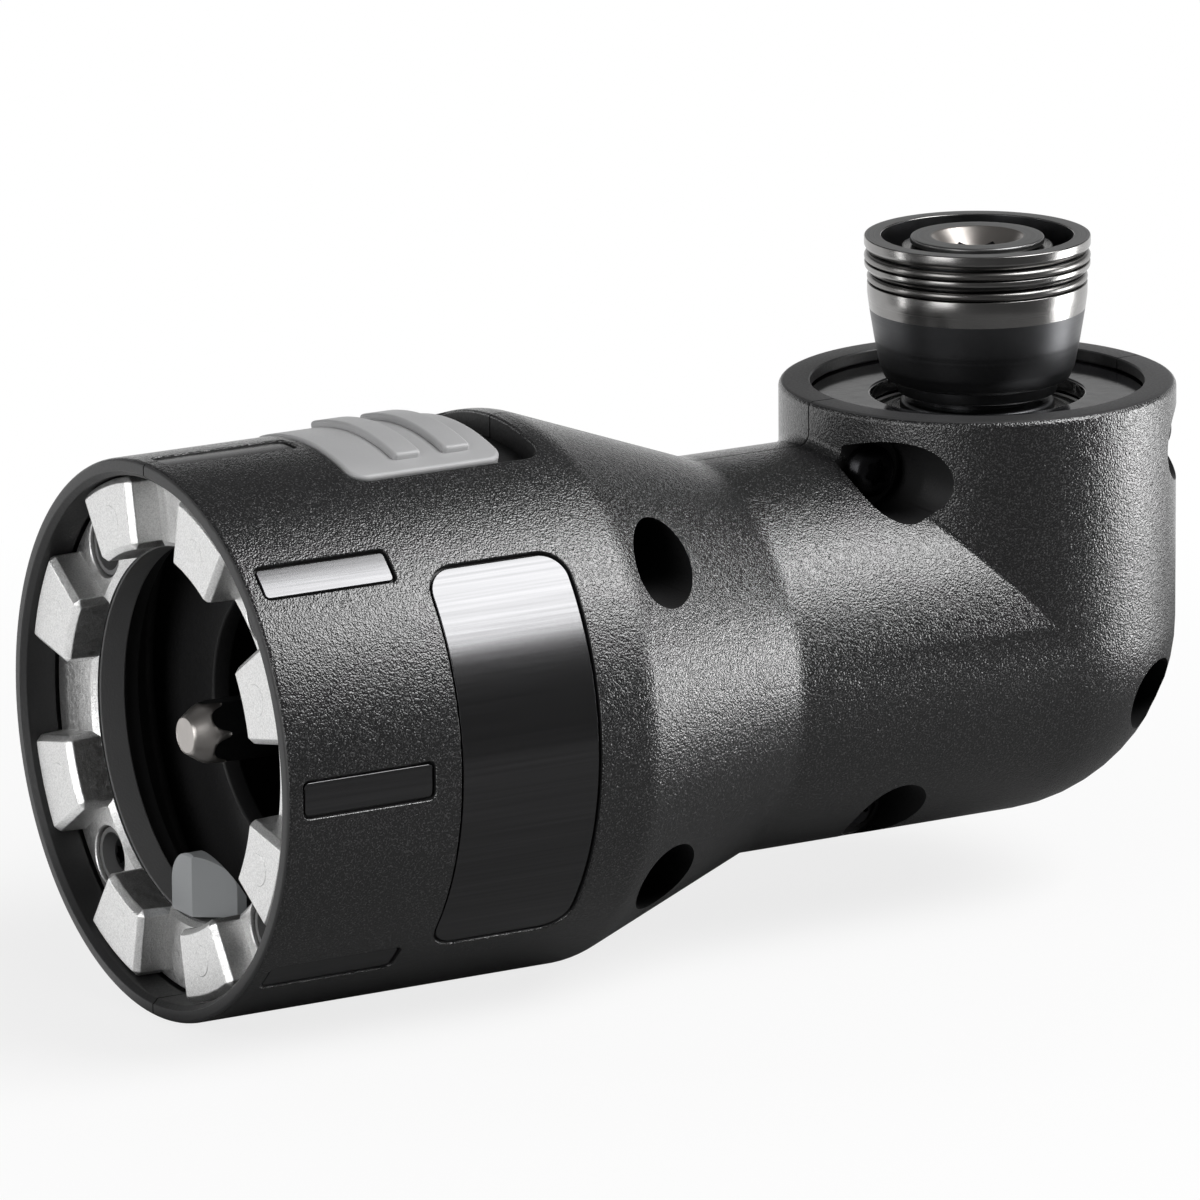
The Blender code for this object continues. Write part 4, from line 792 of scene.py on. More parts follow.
def seats_mesh(name: str, seats: Sequence[Vector]) -> Mesh:
    """Mesh of loose vertices, one at each seat."""
    mesh = bpy.data.meshes.new(name)
    mesh.from_pydata([tuple(s) for s in seats], [], [])
    return mesh


# Handing pieces over


@dataclass(frozen=True)
class Piece:
    """A finished piece and what it stands for.

    Attributes:
        obj: The finished object.
        body: CAD body that it rides on.
        slot: Material slot of the record; not used.
        stands_for: CAD nodes that it replaces.
    """

    obj: Object
    body: str
    slot: str
    stands_for: tuple[str, ...]

    def hand_over(self) -> None:
        """Tie the piece to its body and its nodes, and report it."""
        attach(self.obj, self.body)
        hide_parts(*self.stands_for)
        LOG.info("%s: %d faces on %s for %s", self.obj.name, len(self.obj.data.polygons), self.body,
                 ", ".join(self.stands_for))


def dressed(obj: Object, *materials: Material) -> Object:
    """Give an object its materials in place of any that it has."""
    obj.data.materials.clear()
    for material in materials:
        obj.data.materials.append(material)
    return obj


# Sub-assemblies


@dataclass
class Housing:
    """Both halves of the housing, with their recesses, pockets and seats."""

    finishes: Finishes
    sleeve_r: float = 30.0 * MM
    sleeve_length: float = 44.2 * MM
    shoulder_round: float = 7.0 * MM
    rim_round: float = 0.6 * MM
    rim_wall: float = 1.9 * MM
    cone_end: float = 67.4 * MM
    neck_r: float = 21.7 * MM
    neck_round: float = 6.0 * MM
    crease_round: float = 1.2 * MM
    head_top: float = 26.4 * MM
    head_round: float = 0.7 * MM
    lip_r: float = 18.25 * MM
    lip_floor: float = 25.2 * MM
    seam: float = 0.2 * MM
    edge: float = 0.12 * MM
    recess_edge: float = 0.18 * MM
    recess_gap: float = 0.3 * MM
    pocket_r: float = 4.2 * MM
    pocket_floor: float = -5.5 * MM
    gear_room_r: float = 13.3 * MM
    gear_room_z: float = 5.7 * MM
    columns: int = 160

    def outside_profile(self) -> Profile:
        """Sleeve, cone and neck up to the output axis."""
        return filleted([
            (0.0, 0.0, 0.0),
            (0.0, self.sleeve_r, self.rim_round),
            (self.sleeve_length, self.sleeve_r, self.shoulder_round),
            (self.cone_end, self.neck_r, self.neck_round),
            (OUTPUT_X, self.neck_r, 0.0),
        ], segments=7)[1:]

    def outside(self) -> Object:
        """Outer shape as one net of columns: along the sleeve, round the elbow, up the head."""
        profile = self.outside_profile()
        turns = [math.pi / 2 * i / 12 for i in range(13)]
        top = filleted([
            (self.crease_round, self.neck_r, 0.0),
            (self.head_top, self.neck_r, self.head_round),
            (self.head_top, 0.0, 0.0),
        ])
        bm = bmesh.new()
        net = []
        for k in range(self.columns):
            angle = 2 * math.pi * (k + 0.5) / self.columns
            side, up = -math.sin(angle), math.cos(angle)
            reach = self.neck_r * up
            column = [Vector((x, r * side, r * up)) for x, r in profile[:-1]]
            if reach > 0:
                ease = self.crease_round * up
                column += [Vector((OUTPUT_X - reach - ease * (1 - math.sin(t)), self.neck_r * side,
                                   reach + ease * (1 - math.cos(t)))) for t in turns]
            else:
                column += [Vector((OUTPUT_X - reach * math.sin(t), self.neck_r * side,
                                   reach * math.cos(t))) for t in turns]
            column += [Vector((OUTPUT_X - r * up, r * side, z)) for z, r in top[1:-1]]
            net.append([bm.verts.new(p) for p in column])
        mouth = bm.verts.new((0.0, 0.0, 0.0))
        crown = bm.verts.new((OUTPUT_X, 0.0, self.head_top))
        for a, b in zip(net, net[1:] + net[:1]):
            for i in range(len(a) - 1):
                bm.faces.new((a[i], b[i], b[i + 1], a[i + 1]))
            bm.faces.new((a[0], mouth, b[0]))
            bm.faces.new((a[-1], b[-1], crown))
        return object_from("housing_outside", bm)

    def drive_hollow(self) -> Object:
        """Cutter for everything hollow about the drive axis."""
        ring_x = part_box("toothed_ring")[0].x
        guide_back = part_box("guide_collar")[1].x
        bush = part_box("front_bush")
        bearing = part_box("rear_bearing_outer")
        gap = 0.3 * MM
        bore = self.sleeve_r - self.rim_wall
        groove_start = ring_x + 3.2 * MM
        partition = 15.8 * MM
        throat = 14.5 * MM
        chamber = self.sleeve_r - 4.4 * MM
        shaft_room = 6.0 * MM
        waist = self.neck_r - 3.3 * MM
        waist_start, waist_end = 59.3 * MM, 77.2 * MM
        bearing_room = 9.0 * MM
        gear_start, gear_end = OUTPUT_X - 13.55 * MM, OUTPUT_X - self.gear_room_z
        return revolve("drive_hollow", filleted([
            (-1.0 * MM, 0.0, 0.0),
            (-1.0 * MM, bore + self.rim_round, 0.0),
            (0.0, bore + self.rim_round, self.rim_round * 0.5),
            (self.rim_round, bore, self.rim_round * 0.5),
            (groove_start, bore, 0.0),
            (groove_start, bore + 0.6 * MM, 0.0),
            (guide_back + gap, bore + 0.6 * MM, 0.0),
            (guide_back + gap, bore - 0.1 * MM, 0.0),
            (partition, bore - 0.1 * MM, 1.0 * MM),
            (partition, throat, 0.35 * MM),
            (partition + 2.2 * MM, throat, 0.35 * MM),
            (partition + 2.2 * MM, chamber, 1.0 * MM),
            (bush[0].x - 5.4 * MM, chamber, 1.0 * MM),
            (bush[0].x - 5.4 * MM, shaft_room, 0.3 * MM),
            (bush[0].x - gap, shaft_room, 0.0),
            (bush[0].x - gap, bush[1].z + gap, 0.0),
            (bush[1].x + gap, bush[1].z + gap, 0.0),
            (bush[1].x + gap, shaft_room, 0.0),
            (waist_start, shaft_room, 0.0),
            (waist_start, waist, 1.0 * MM),
            (waist_end, waist, 1.0 * MM),
            (waist_end, bearing_room, 0.0),
            (bearing[0].x - gap, bearing_room, 0.0),
            (bearing[0].x - gap, bearing[1].z + gap, 0.0),
            (bearing[1].x + gap, bearing[1].z + gap, 0.0),
            (bearing[1].x + gap, bearing_room, 0.0),
            (gear_start, bearing_room, 0.0),
            (gear_start, self.gear_room_r, 0.0),
            (gear_end, self.gear_room_r, 0.0),
            (gear_end, 0.0, 0.0),
        ], segments=3), Axis.DRIVE, ON_DRIVE, 120)

    def output_hollow(self) -> Object:
        """Cutter for everything hollow about the output axis."""
        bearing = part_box("output_bearing_outer")
        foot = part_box("foot_bush")
        cover_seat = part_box("head_cover")[1].z - 1.5 * MM
        gap = 0.3 * MM
        bearing_r = box_size("output_bearing_outer").x / 2 + gap
        cover_r = box_size("head_cover").x / 2 + gap
        spindle_room = 10.1 * MM
        gear_top = 15.0 * MM
        foot_room = 5.6 * MM
        foot_seat = 6.8 * MM
        return revolve("output_hollow", filleted([
            (self.head_top + 1.0 * MM, 0.0, 0.0),
            (self.head_top + 1.0 * MM, self.lip_r + 0.15 * MM, 0.0),
            (self.head_top, self.lip_r + 0.15 * MM, 0.05 * MM),
            (self.head_top - 0.15 * MM, self.lip_r, 0.05 * MM),
            (self.lip_floor, self.lip_r, 0.0),
            (self.lip_floor, cover_r, 0.0),
            (cover_seat, cover_r, 0.0),
            (cover_seat, bearing_r, 0.0),
            (bearing[0].z - gap, bearing_r, 0.0),
            (bearing[0].z - gap, spindle_room, 0.0),
            (gear_top, spindle_room, 0.0),
            (gear_top, self.gear_room_r, 0.0),
            (self.gear_room_z, self.gear_room_r, 0.0),
            (self.gear_room_z, foot_room, 0.0),
            (foot[1].z + gap, foot_room, 0.0),
            (foot[1].z + gap, foot_seat, 0.0),
            (foot[0].z - gap, foot_seat, 0.0),
            (foot[0].z - gap, 0.0, 0.0),
        ], segments=3), Axis.OUTPUT, ON_OUTPUT, 120)

    def recesses(self, inlays: "Inlays", latch: "Latch") -> list[Object]:
        """Cutters for the plate, the strips and the button."""
        past = self.sleeve_r + 1.5 * MM
        recess = flared_layers(inlays.face_r - inlays.thick, self.sleeve_r, self.recess_edge, past)
        pocket = flared_layers(latch.pocket_r, self.sleeve_r, 0.3 * MM, past + 1.0 * MM)
        recess, pocket = ([(inset - self.recess_gap, radius) for inset, radius in layers]
                          for layers in (recess, pocket))
        tools = [patch.solid(f"recess_{number}", recess, 16, 6)
                 for number, patch in enumerate([inlays.plate(), *inlays.strips()])]
        tools.append(latch.pocket().solid("button_pocket", pocket, 24, 8))
        return tools

    def smooth_lands_and_shaded_inside(self, half: Object) -> None:
        """Give the rim's and the head's lands their smooth finish, and every face inside the smooth black
        inner plastic, darkened as painted shade.
        """
        profile = self.outside_profile()
        stations, radii = [p[0] for p in profile], [p[1] for p in profile]
        for face in half.data.polygons:
            x, y, z = face.center
            from_output = math.hypot(x - OUTPUT_X, y)
            from_drive = math.hypot(y, z)
            depths = []
            if x < OUTPUT_X:
                depths.append(np.interp(x, stations, radii) - from_drive)
            if z > 0:
                depths.append(self.neck_r - from_output)
            elif x >= OUTPUT_X:
                depths.append(self.neck_r - math.hypot(from_output, z))
            on_rim = x < 0.25 * MM and from_drive > self.sleeve_r - self.rim_wall - 0.3 * MM
            on_head = self.head_top - z < 0.1 * MM and self.lip_r - 0.1 * MM < from_output < self.neck_r
            # lands get the smooth finish; faces deep inside get the inner plastic darkened as painted shade
            if on_rim or on_head:
                face.material_index = 2
            elif max(depths) > 0.35 * MM:
                face.material_index = 1

    def build(self, inlays: "Inlays", latch: "Latch") -> list[Piece]:
        """Make both halves."""
        whole = cut(self.outside(), self.drive_hollow(), self.output_hollow())
        cut(whole, *self.recesses(inlays, latch))
        exact = [
            turned_surface(self.outside_profile(), OUTPUT_X + HAIR),
            round_surface(self.neck_r, self.head_top - self.head_round + HAIR),
            round_surface(self.neck_r),
        ]
        far = 3 * self.sleeve_r
        pieces = []
        for name, side in (("housing_right", -1), ("housing_left", 1)):
            half = add_object(name + "_shell", whole.data.copy())
            low, high = sorted((side * self.seam / 2, -side * far))
            cut(half, block("parting", (-far, low, -far), (OUTPUT_X + far, high, far)))
            if side < 0:
                for seat in Screws.housing_seats():
                    at = Vector((seat.x, 0.0, seat.z))
                    corners = [
                        (-far, 0.0, 0.0),
                        (-far, self.pocket_r, 0.0),
                        (self.pocket_floor, self.pocket_r, 0.3 * MM),
                        (self.pocket_floor, 0.0, 0.0),
                    ]
                    cut(half, revolve("pocket", filleted(corners, segments=3), Axis.ACROSS, at, 56))
            eased(half, self.edge, 1, 38.0)
            dressed(shade_on(half, exact), self.finishes.housing, self.finishes.inner, self.finishes.land)
            self.smooth_lands_and_shaded_inside(half)
            pieces.append(Piece(half, "housing", "housing", (name,)))
        bpy.data.objects.remove(whole, do_unlink=True)
        return pieces


@dataclass
class Inlays:
    """Bare plate on the right side, and the trim strips round the mouth."""

    finishes: Finishes
    face_r: float = 29.75 * MM
    thick: float = 0.45 * MM
    edge: float = 0.12 * MM
    plate_start: float = 21.0 * MM
    plate_length: float = 16.4 * MM
    plate_half_angle: float = 42.5
    plate_corner: float = 3.0 * MM
    strip_start: float = 2.1 * MM
    strip_length: float = 15.2 * MM
    strip_half_angle: float = 3.4
    strip_corner: float = 0.5 * MM
    strip_count: int = 8

    def plate(self) -> Patch:
        """Outline of the plate."""
        return Patch(90.0, self.plate_half_angle, self.plate_start, self.plate_start + self.plate_length,
                     self.plate_corner, self.face_r)

    def strips(self) -> list[Patch]:
        """Outlines of the strips, from the top round the sleeve."""
        end = self.strip_start + self.strip_length
        return [Patch(360.0 * n / self.strip_count, self.strip_half_angle, self.strip_start, end,
                      self.strip_corner, self.face_r) for n in range(self.strip_count)]

    def build(self) -> list[Piece]:
        """Make the plate and the ring of strips."""
        layers = rounded_layers(self.face_r - self.thick + 0.1 * MM, self.face_r, self.edge)
        plate = dressed(shade(self.plate().solid("bare_plate", layers, 48, 10)), self.finishes.inlay)
        strip = shade(self.strips()[0].solid("strip", layers, 8, 4))
        strips = repeated("trim_strips", strip, self.strip_count, 0.0, self.finishes.inlay)
        nodes = tuple(f"trim_strip_{n + 1}" for n in range(self.strip_count))
        return [Piece(plate, "housing", "inlay", ("name_plate",)), Piece(strips, "housing", "inlay", nodes)]


@dataclass
class Latch:
    """Release button with its ribs, and the hook in the mouth."""

    finishes: Finishes
    sleeve_r: float = 30.0 * MM
    start: float = 19.0 * MM
    length: float = 18.4 * MM
    half_angle: float = 21.5
    corner: float = 2.0 * MM
    proud: float = 0.2 * MM
    plate: float = 1.9 * MM
    pocket_r: float = 27.5 * MM
    travel: float = 4.2 * MM
    rib_starts: tuple[float, float] = (25.0 * MM, 31.0 * MM)
    rib_width: float = 3.3 * MM
    rib_proud: float = 0.75 * MM
    rib_half_angle: float = 17.2
    hook_r: float = 3.6 * MM

    def button_patch(self) -> Patch:
        """Outline of the button."""
        return Patch(0.0, self.half_angle, self.start, self.start + self.length, self.corner, self.sleeve_r)

    def pocket(self) -> Patch:
        """Outline of the button's pocket, with room for its travel."""
        return Patch(0.0, self.half_angle, self.start, self.start + self.length + self.travel, self.corner,
                     self.sleeve_r)

    def button(self) -> Object:
        """The button's plate with both ribs."""
        outer = self.sleeve_r + self.proud
        layers = rounded_layers(outer - self.plate, outer, 0.45 * MM, 4)
        plate = self.button_patch().solid("button", layers, 32, 10)
        ribs = []
        for number, start in enumerate(self.rib_starts):
            patch = Patch(0.0, self.rib_half_angle, start, start + self.rib_width, 0.5 * MM, self.sleeve_r)
            layers = rounded_layers(outer - 0.6 * MM, outer + self.rib_proud, 0.4 * MM, 4)
            ribs.append(patch.solid(f"rib_{number}", layers, 32, 6))
        join(plate, *ribs)
        return shade(plate)

    def hook(self) -> Object:
        """The hook: a round-topped tab with a prow in front and a ramp behind."""
        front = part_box("lock_yoke")[0].x
        centre_z = -16.5 * MM
        start, end = front - 1.0 * MM, front + 8.0 * MM
        tab = rod("hook", (start, end), self.hook_r, Axis.DRIVE, Vector((0, 0, centre_z)), 72)
        join(tab, block("foot", (start, -self.hook_r, centre_z - 3.2 * MM), (end, self.hook_r, centre_z)))
        plan = [(front, -0.8 * MM), (front + 4.3 * MM, -3.9 * MM), (front + 6.7 * MM, -3.9 * MM),
                (front + 6.7 * MM, 3.9 * MM), (front, 3.9 * MM)]
        prow = prism("prow", [Vector((x, y, centre_z - 3.1 * MM)) for x, y in plan], Vector((0, 0, 8 * MM)))
        side = [(front - 1 * MM, -20 * MM), (front - 1 * MM, -14.2 * MM), (front + 0.9 * MM, -12.3 * MM),
                (front + 1.6 * MM, -12.3 * MM), (front + 5.0 * MM, -17.4 * MM), (front + 5.0 * MM, -20 * MM)]
        ramp = prism("ramp", [Vector((x, -5 * MM, z)) for x, z in side], Vector((0, 10 * MM, 0)))
        combine(tab, [prow], "INTERSECT")
        combine(tab, [ramp], "INTERSECT")
        return shade(eased(tab, 0.6 * MM, 4, 28.0))

    def yoke(self) -> Object:
        """Ring and bar that tie the hook to the button."""
        front = 8.6 * MM
        back = front + 1.8 * MM
        inner, outer = 21.0 * MM, 27.6 * MM
        ring = revolve("yoke", filleted([
            (front, inner, 0.3 * MM),
            (front, outer, 0.3 * MM),
            (back, outer, 0.3 * MM),
            (back, inner, 0.3 * MM),
        ], closed=True, segments=2), Axis.DRIVE, ON_DRIVE, 96)
        join(ring,
             block("bar", (front + 0.9 * MM, -3.6 * MM, 21.8 * MM), (33.0 * MM, 3.6 * MM, 24.8 * MM)),
             block("root", (front, -3.5 * MM, -22.2 * MM), (back, 3.5 * MM, -18.0 * MM)))
        for angle in (45.0, 135.0, 225.0, 315.0):
            at = Axis.DRIVE.point(0.0, 24.0 * MM, math.radians(angle), ON_DRIVE)
            cut(ring, rod("hole", (0.0, 20 * MM), 2.6 * MM, Axis.DRIVE, at, 32))
        return ring

    def build(self) -> list[Piece]:
        """Make the button and the yoke with its hook."""
        button = dressed(self.button(), self.finishes.button)
        button.name = "button_with_ribs"
        hook = dressed(self.hook(), self.finishes.hook)
        hook.name = "latch_hook"
        yoke = self.yoke()
        yoke.name = "latch_yoke"
        # the yoke gets the inner plastic darkened as painted shade, so that it reads dark behind the guide
        dressed(shade(yoke), self.finishes.inner)
        return [Piece(button, "release", "button", ("release_button",)),
                Piece(hook, "release", "hook", ("lock_yoke",)),
                Piece(yoke, "release", "hook", ("lock_yoke",))]


@dataclass
class Mouth:
    """Toothed ring and guide collar in the mouth."""

    finishes: Finishes
    inner_r: float = 20.1 * MM
    outer_r: float = 27.9 * MM
    guide_r: float = 20.0 * MM
    tooth_height: float = 3.5 * MM
    edge: float = 0.65 * MM
    floor_edge: float = 0.55 * MM
    teeth: int = 8
    draft: float = 1.2
    mark_r: float = 1.8 * MM
    hole_r: float = 3.25 * MM
    screw_circle_r: float = 24.0 * MM

    def screw_angles(self) -> list[float]:
        """Angles of the ring screws in radians."""
        return [math.radians(45.0 + 90.0 * n) for n in range(4)]

    def tooth(self) -> Object:
        """One tooth at the first gap's side, tapered towards its face."""
        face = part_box("toothed_ring")[0].x
        floor = face + self.tooth_height
        half = math.radians(180.0 / self.teeth / 2)
        slant = math.radians(self.draft)
        bm = bmesh.new()
        steps = 10
        loops = []
        for x, grow in ((floor + 2.0 * MM, slant), (face, 0.0)):
            loop = []
            for radius, turns in ((self.inner_r, range(steps + 1)), (self.outer_r, range(steps, -1, -1))):
                for k in turns:
                    angle = (half + grow * 0.5) * (2 * k / steps - 1)
                    loop.append(bm.verts.new(Axis.DRIVE.point(x, radius, angle, ON_DRIVE)))
            loops.append(loop)
        bridge(bm, *loops)
        count = len(loops[0])
        for loop in loops:
            for k in range(steps):
                bm.faces.new((loop[k], loop[k + 1], loop[count - 2 - k], loop[count - 1 - k]))
        tooth = eased(eased(object_from("tooth", bm), self.edge, 1, 50.0), 0.12 * MM, 2, 25.0)
        far = 2 * self.outer_r
        cut(tooth, block("below", (floor + 0.6 * MM, -far, -far), (floor + far, far, far)))
        at = Axis.DRIVE.point(0.0, self.screw_circle_r - 0.4 * MM, 0.0, ON_DRIVE)
        join(tooth, revolve("mark", [
            (face - 0.035 * MM, 0.0), (face - 0.035 * MM, self.mark_r - 0.1 * MM),
            (face + 0.02 * MM, self.mark_r), (face + 1.0 * MM, self.mark_r), (face + 1.0 * MM, 0.0),
        ], Axis.DRIVE, at, 48))
        return shade(tooth, 25.0)

    def ring(self) -> Object:
        """Base of the ring with its four holes."""
        face, back = (v.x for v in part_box("toothed_ring"))
        floor = face + self.tooth_height
        base = revolve("ring_base", filleted([
            (floor, self.inner_r + self.floor_edge, 0.0),
            (floor, self.outer_r, 0.2 * MM),
            (back, self.outer_r, 0.2 * MM),
            (back, self.guide_r + 1.3 * MM, 0.0),
            (floor + self.floor_edge + 0.12 * MM, self.guide_r + 1.3 * MM, 0.0),
            (floor + self.floor_edge + 0.12 * MM, self.inner_r, 0.0),
            (floor + self.floor_edge, self.inner_r, 0.0),
        ], closed=True, segments=3), Axis.DRIVE, ON_DRIVE, 144)
        for angle in self.screw_angles():
            at = Axis.DRIVE.point(0.0, self.screw_circle_r, angle, ON_DRIVE)
            cut(base, revolve("hole", filleted([
                (floor - 1.0 * MM, 0.0, 0.0),
                (floor - 1.0 * MM, self.hole_r + 0.12 * MM, 0.0),
                (floor, self.hole_r + 0.12 * MM, 0.05 * MM),
                (floor + 0.12 * MM, self.hole_r, 0.05 * MM),
                (back + 1.0 * MM, self.hole_r, 0.0),
                (back + 1.0 * MM, 0.0, 0.0),
            ], segments=2), Axis.DRIVE, at, 48))
        return shade(base)

    def guide(self) -> Object:
        """Guide collar with the sunk bosses of the ring screws."""
        seat, back = (v.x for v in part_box("guide_collar"))
        flange = seat + 1.5 * MM
        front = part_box("toothed_ring")[0].x + self.tooth_height + self.floor_edge + 0.25 * MM
        lip_r = self.guide_r + 1.0 * MM
        flange_r = self.outer_r + 0.5 * MM
        boss_r = self.hole_r - 0.15 * MM
        collar = revolve("guide", filleted([
            (front, self.guide_r, 0.2 * MM),
            (front, lip_r, 0.1 * MM),
            (flange, lip_r, 0.0),
            (flange, flange_r, 0.0),
            (back, flange_r, 0.0),
            (back, self.guide_r, 0.25 * MM),
        ], closed=True, segments=3), Axis.DRIVE, ON_DRIVE, 144)
        for angle in self.screw_angles():
            at = Axis.DRIVE.point(0.0, self.screw_circle_r, angle, ON_DRIVE)
            join(collar, revolve("boss", filleted([
                (front - 0.4 * MM, 2.5 * MM, 0.1 * MM), (front - 0.4 * MM, boss_r, 0.2 * MM),
                (flange + 0.7 * MM, boss_r, 0.0), (flange + 0.7 * MM, 2.5 * MM, 0.0),
            ], closed=True, segments=3), Axis.DRIVE, at, 40))
            cut(collar, rod("counterbore", (front - 1.0 * MM, flange + 0.1 * MM), 2.45 * MM, Axis.DRIVE,
                            at, 40))
        return shade(collar)

    def build(self) -> list[Piece]:
        """Make the ring and the guide collar."""
        teeth = repeated("ring_teeth", self.tooth(), self.teeth, math.pi / self.teeth, self.finishes.cast)
        base = dressed(self.ring(), self.finishes.cast)
        # the guide's grey is lightened as painted light for the shaded mouth
        guide = dressed(self.guide(), self.finishes.guide)
        return [Piece(teeth, "housing", "ring", ("toothed_ring",)),
                Piece(base, "housing", "ring", ("toothed_ring",)),
                Piece(guide, "housing", "inner_plastic", ("guide_collar",))]


@dataclass
class Screws:
    """Pan head screws with a six-lobed recess, in the housing and behind the ring."""

    finishes: Finishes
    head_r: float = 2.9 * MM
    head: float = 2.1 * MM
    small_head_r: float = 2.15 * MM
    small_head: float = 0.9 * MM
    seed: int = 7

    @staticmethod
    def housing_names() -> list[str]:
        """Nodes of the housing screws."""
        return ["shoulder_screw_upper", "shoulder_screw_lower", "neck_screw", "head_screw_front",
                "head_screw_rear", "elbow_screw"]

    @classmethod
    def housing_seats(cls) -> list[Vector]:
        """Middle of each housing screw's front face, from the CAD nodes."""
        seats = []
        for name in cls.housing_names():
            low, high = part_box(name)
            middle = (low + high) / 2
            seats.append(Vector((middle.x, low.y, middle.z)))
        return seats

    @staticmethod
    def ring_names() -> list[str]:
        """Nodes of the ring screws."""
        return [f"ring_screw_{n + 1}" for n in range(4)]

    @classmethod
    def ring_seats(cls) -> list[Vector]:
        """Middle of each ring screw's front face, from the CAD nodes."""
        boxes = [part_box(name) for name in cls.ring_names()]
        return [Vector((low.x, (low.y + high.y) / 2, (low.z + high.z) / 2)) for low, high in boxes]

    def star(self, axis: Axis, radius: float, depth: float) -> Object:
        """Cutter with six lobes."""
        count = 48
        outline = []
        for k in range(count):
            turn = 2 * math.pi * k / count
            reach = radius * (0.86 + 0.14 * math.cos(6 * turn))
            outline.append(axis.point(-0.5 * MM, reach, turn, Vector((0, 0, 0))))
        return prism("star", outline, Vector(axis.value[0]) * (depth + 0.5 * MM))

    def screw(self, axis: Axis, head_r: float, head: float, shank_r: float) -> Object:
        """One screw with its front face at the origin and its shank along the axis."""
        body = revolve("screw", filleted([
            (0.0, 0.0, 0.0),
            (0.0, head_r * 0.62, 0.0),
            (head * 0.12, head_r * 0.8, head_r * 0.4),
            (head * 0.55, head_r, head * 0.15),
            (head, head_r, 0.1 * MM),
            (head, shank_r, 0.0),
            (head * 2.5, shank_r, 0.0),
            (head * 2.5, 0.0, 0.0),
        ], segments=3), axis, Vector((0, 0, 0)), 48)
        return shade(cut(body, self.star(axis, head_r * 0.52, head * 0.6)))

    def group(self, name: str, axis: Axis, screw: Object, seats: Sequence[Vector], nodes: list[str]) -> Piece:
        """Set a screw in every seat."""
        group = at_every_seat().run(name, seats_mesh(name, seats), {
            "Piece": screw, "Axis": axis.value[0], "Seed": self.seed, "Material": self.finishes.screw})
        bpy.data.objects.remove(screw, do_unlink=True)
        return Piece(group, "housing", "screw", tuple(nodes))

    def build(self) -> list[Piece]:
        """Make both groups of screws."""
        large = self.screw(Axis.ACROSS, self.head_r, self.head, 1.5 * MM)
        small = self.screw(Axis.DRIVE, self.small_head_r, self.small_head, 1.1 * MM)
        return [self.group("housing_screws", Axis.ACROSS, large, self.housing_seats(), self.housing_names()),
                self.group("ring_screws", Axis.DRIVE, small, self.ring_seats(), self.ring_names())]


@dataclass
class Drive:
    """Input shaft with its coned hexagonal tip."""

    finishes: Finishes
    flats: float = 6.35 * MM
    turned: float = -7.4
    tip: tuple[tuple[float, float], ...] = (
        (0.06, 1.84), (0.0, 1.92), (0.08, 2.02), (0.4, 2.22), (0.9, 2.54), (1.4, 2.86), (1.8, 3.08),
        (2.2, 3.26), (2.7, 3.38), (3.2, 3.45), (3.5, 3.49), (3.66, 3.55), (3.75, 3.64), (3.8, 3.8))

    def hexagon(self, start: float, end: float, edge: float) -> Object:
        """Hexagonal bar on the drive axis with slightly broken corners."""
        corner = self.flats / math.sqrt(3)
        first = math.radians(self.turned)
        outline = [Axis.DRIVE.point(start, corner, first + math.pi / 3 * (k + 0.5), ON_DRIVE)
                   for k in range(6)]
        bar = prism("hexagon", outline, Vector((end - start, 0, 0)))
        return eased(bar, edge, 3, 50.0)

    def is_ground(self, centre: Vector, tip_x: float) -> bool:
        """Whether a face belongs to the tip that was turned bright."""
        apothem = max(centre.yz.length * math.cos(math.radians(self.turned + 60.0 * k) - self.angle(centre))
                      for k in range(6))
        return apothem < self.flats / 2 - 0.004 * MM and centre.x < tip_x + self.tip[-2][0] * MM

    @staticmethod
    def angle(point: Vector) -> float:
        """Angle of a point round the drive axis in radians."""
        return math.atan2(-point.y, point.z)

    def build(self) -> list[Piece]:
        """Make the shaft."""
        low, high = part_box("input_shaft")
        front_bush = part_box("front_bush")
        rear_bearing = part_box("rear_bearing_inner")
        seat = front_bush[0].x - 1.8 * MM
        seat_r, middle_r = 3.7 * MM, 5.3 * MM
        middle_start, middle_end = front_bush[1].x + 0.3 * MM, rear_bearing[0].x - 0.3 * MM
        bar = self.hexagon(low.x - 0.5 * MM, seat + 1.0 * MM, 0.3 * MM)
        profile = [(low.x + x * MM, r * MM) for x, r in self.tip]
        envelope = revolve("envelope", [(profile[0][0], 0.0), *profile, (profile[-1][0], 2 * self.flats),
                                        (seat + 3 * MM, 2 * self.flats), (seat + 3 * MM, 0.0)],
                           Axis.DRIVE, ON_DRIVE, 144)
        combine(bar, [envelope], "INTERSECT")
        seats = revolve("seats", filleted([
            (seat, 0.0, 0.0),
            (seat, seat_r, 0.2 * MM),
            (middle_start, seat_r, 0.0),
            (middle_start, middle_r, 0.3 * MM),
            (middle_end, middle_r, 0.3 * MM),
            (middle_end, seat_r, 0.0),
            (high.x, seat_r, 0.3 * MM),
            (high.x, 0.0, 0.0),
        ], segments=3), Axis.DRIVE, ON_DRIVE, 64)
        join(bar, seats)
        bar.name = "drive_shaft"
        dressed(shade(bar), self.finishes.shaft, self.finishes.black)
        for face in bar.data.polygons:
            if face.center.x < seat and not self.is_ground(face.center, low.x):
                face.material_index = 1
        return [Piece(bar, "input", "steel", ("input_shaft",))]


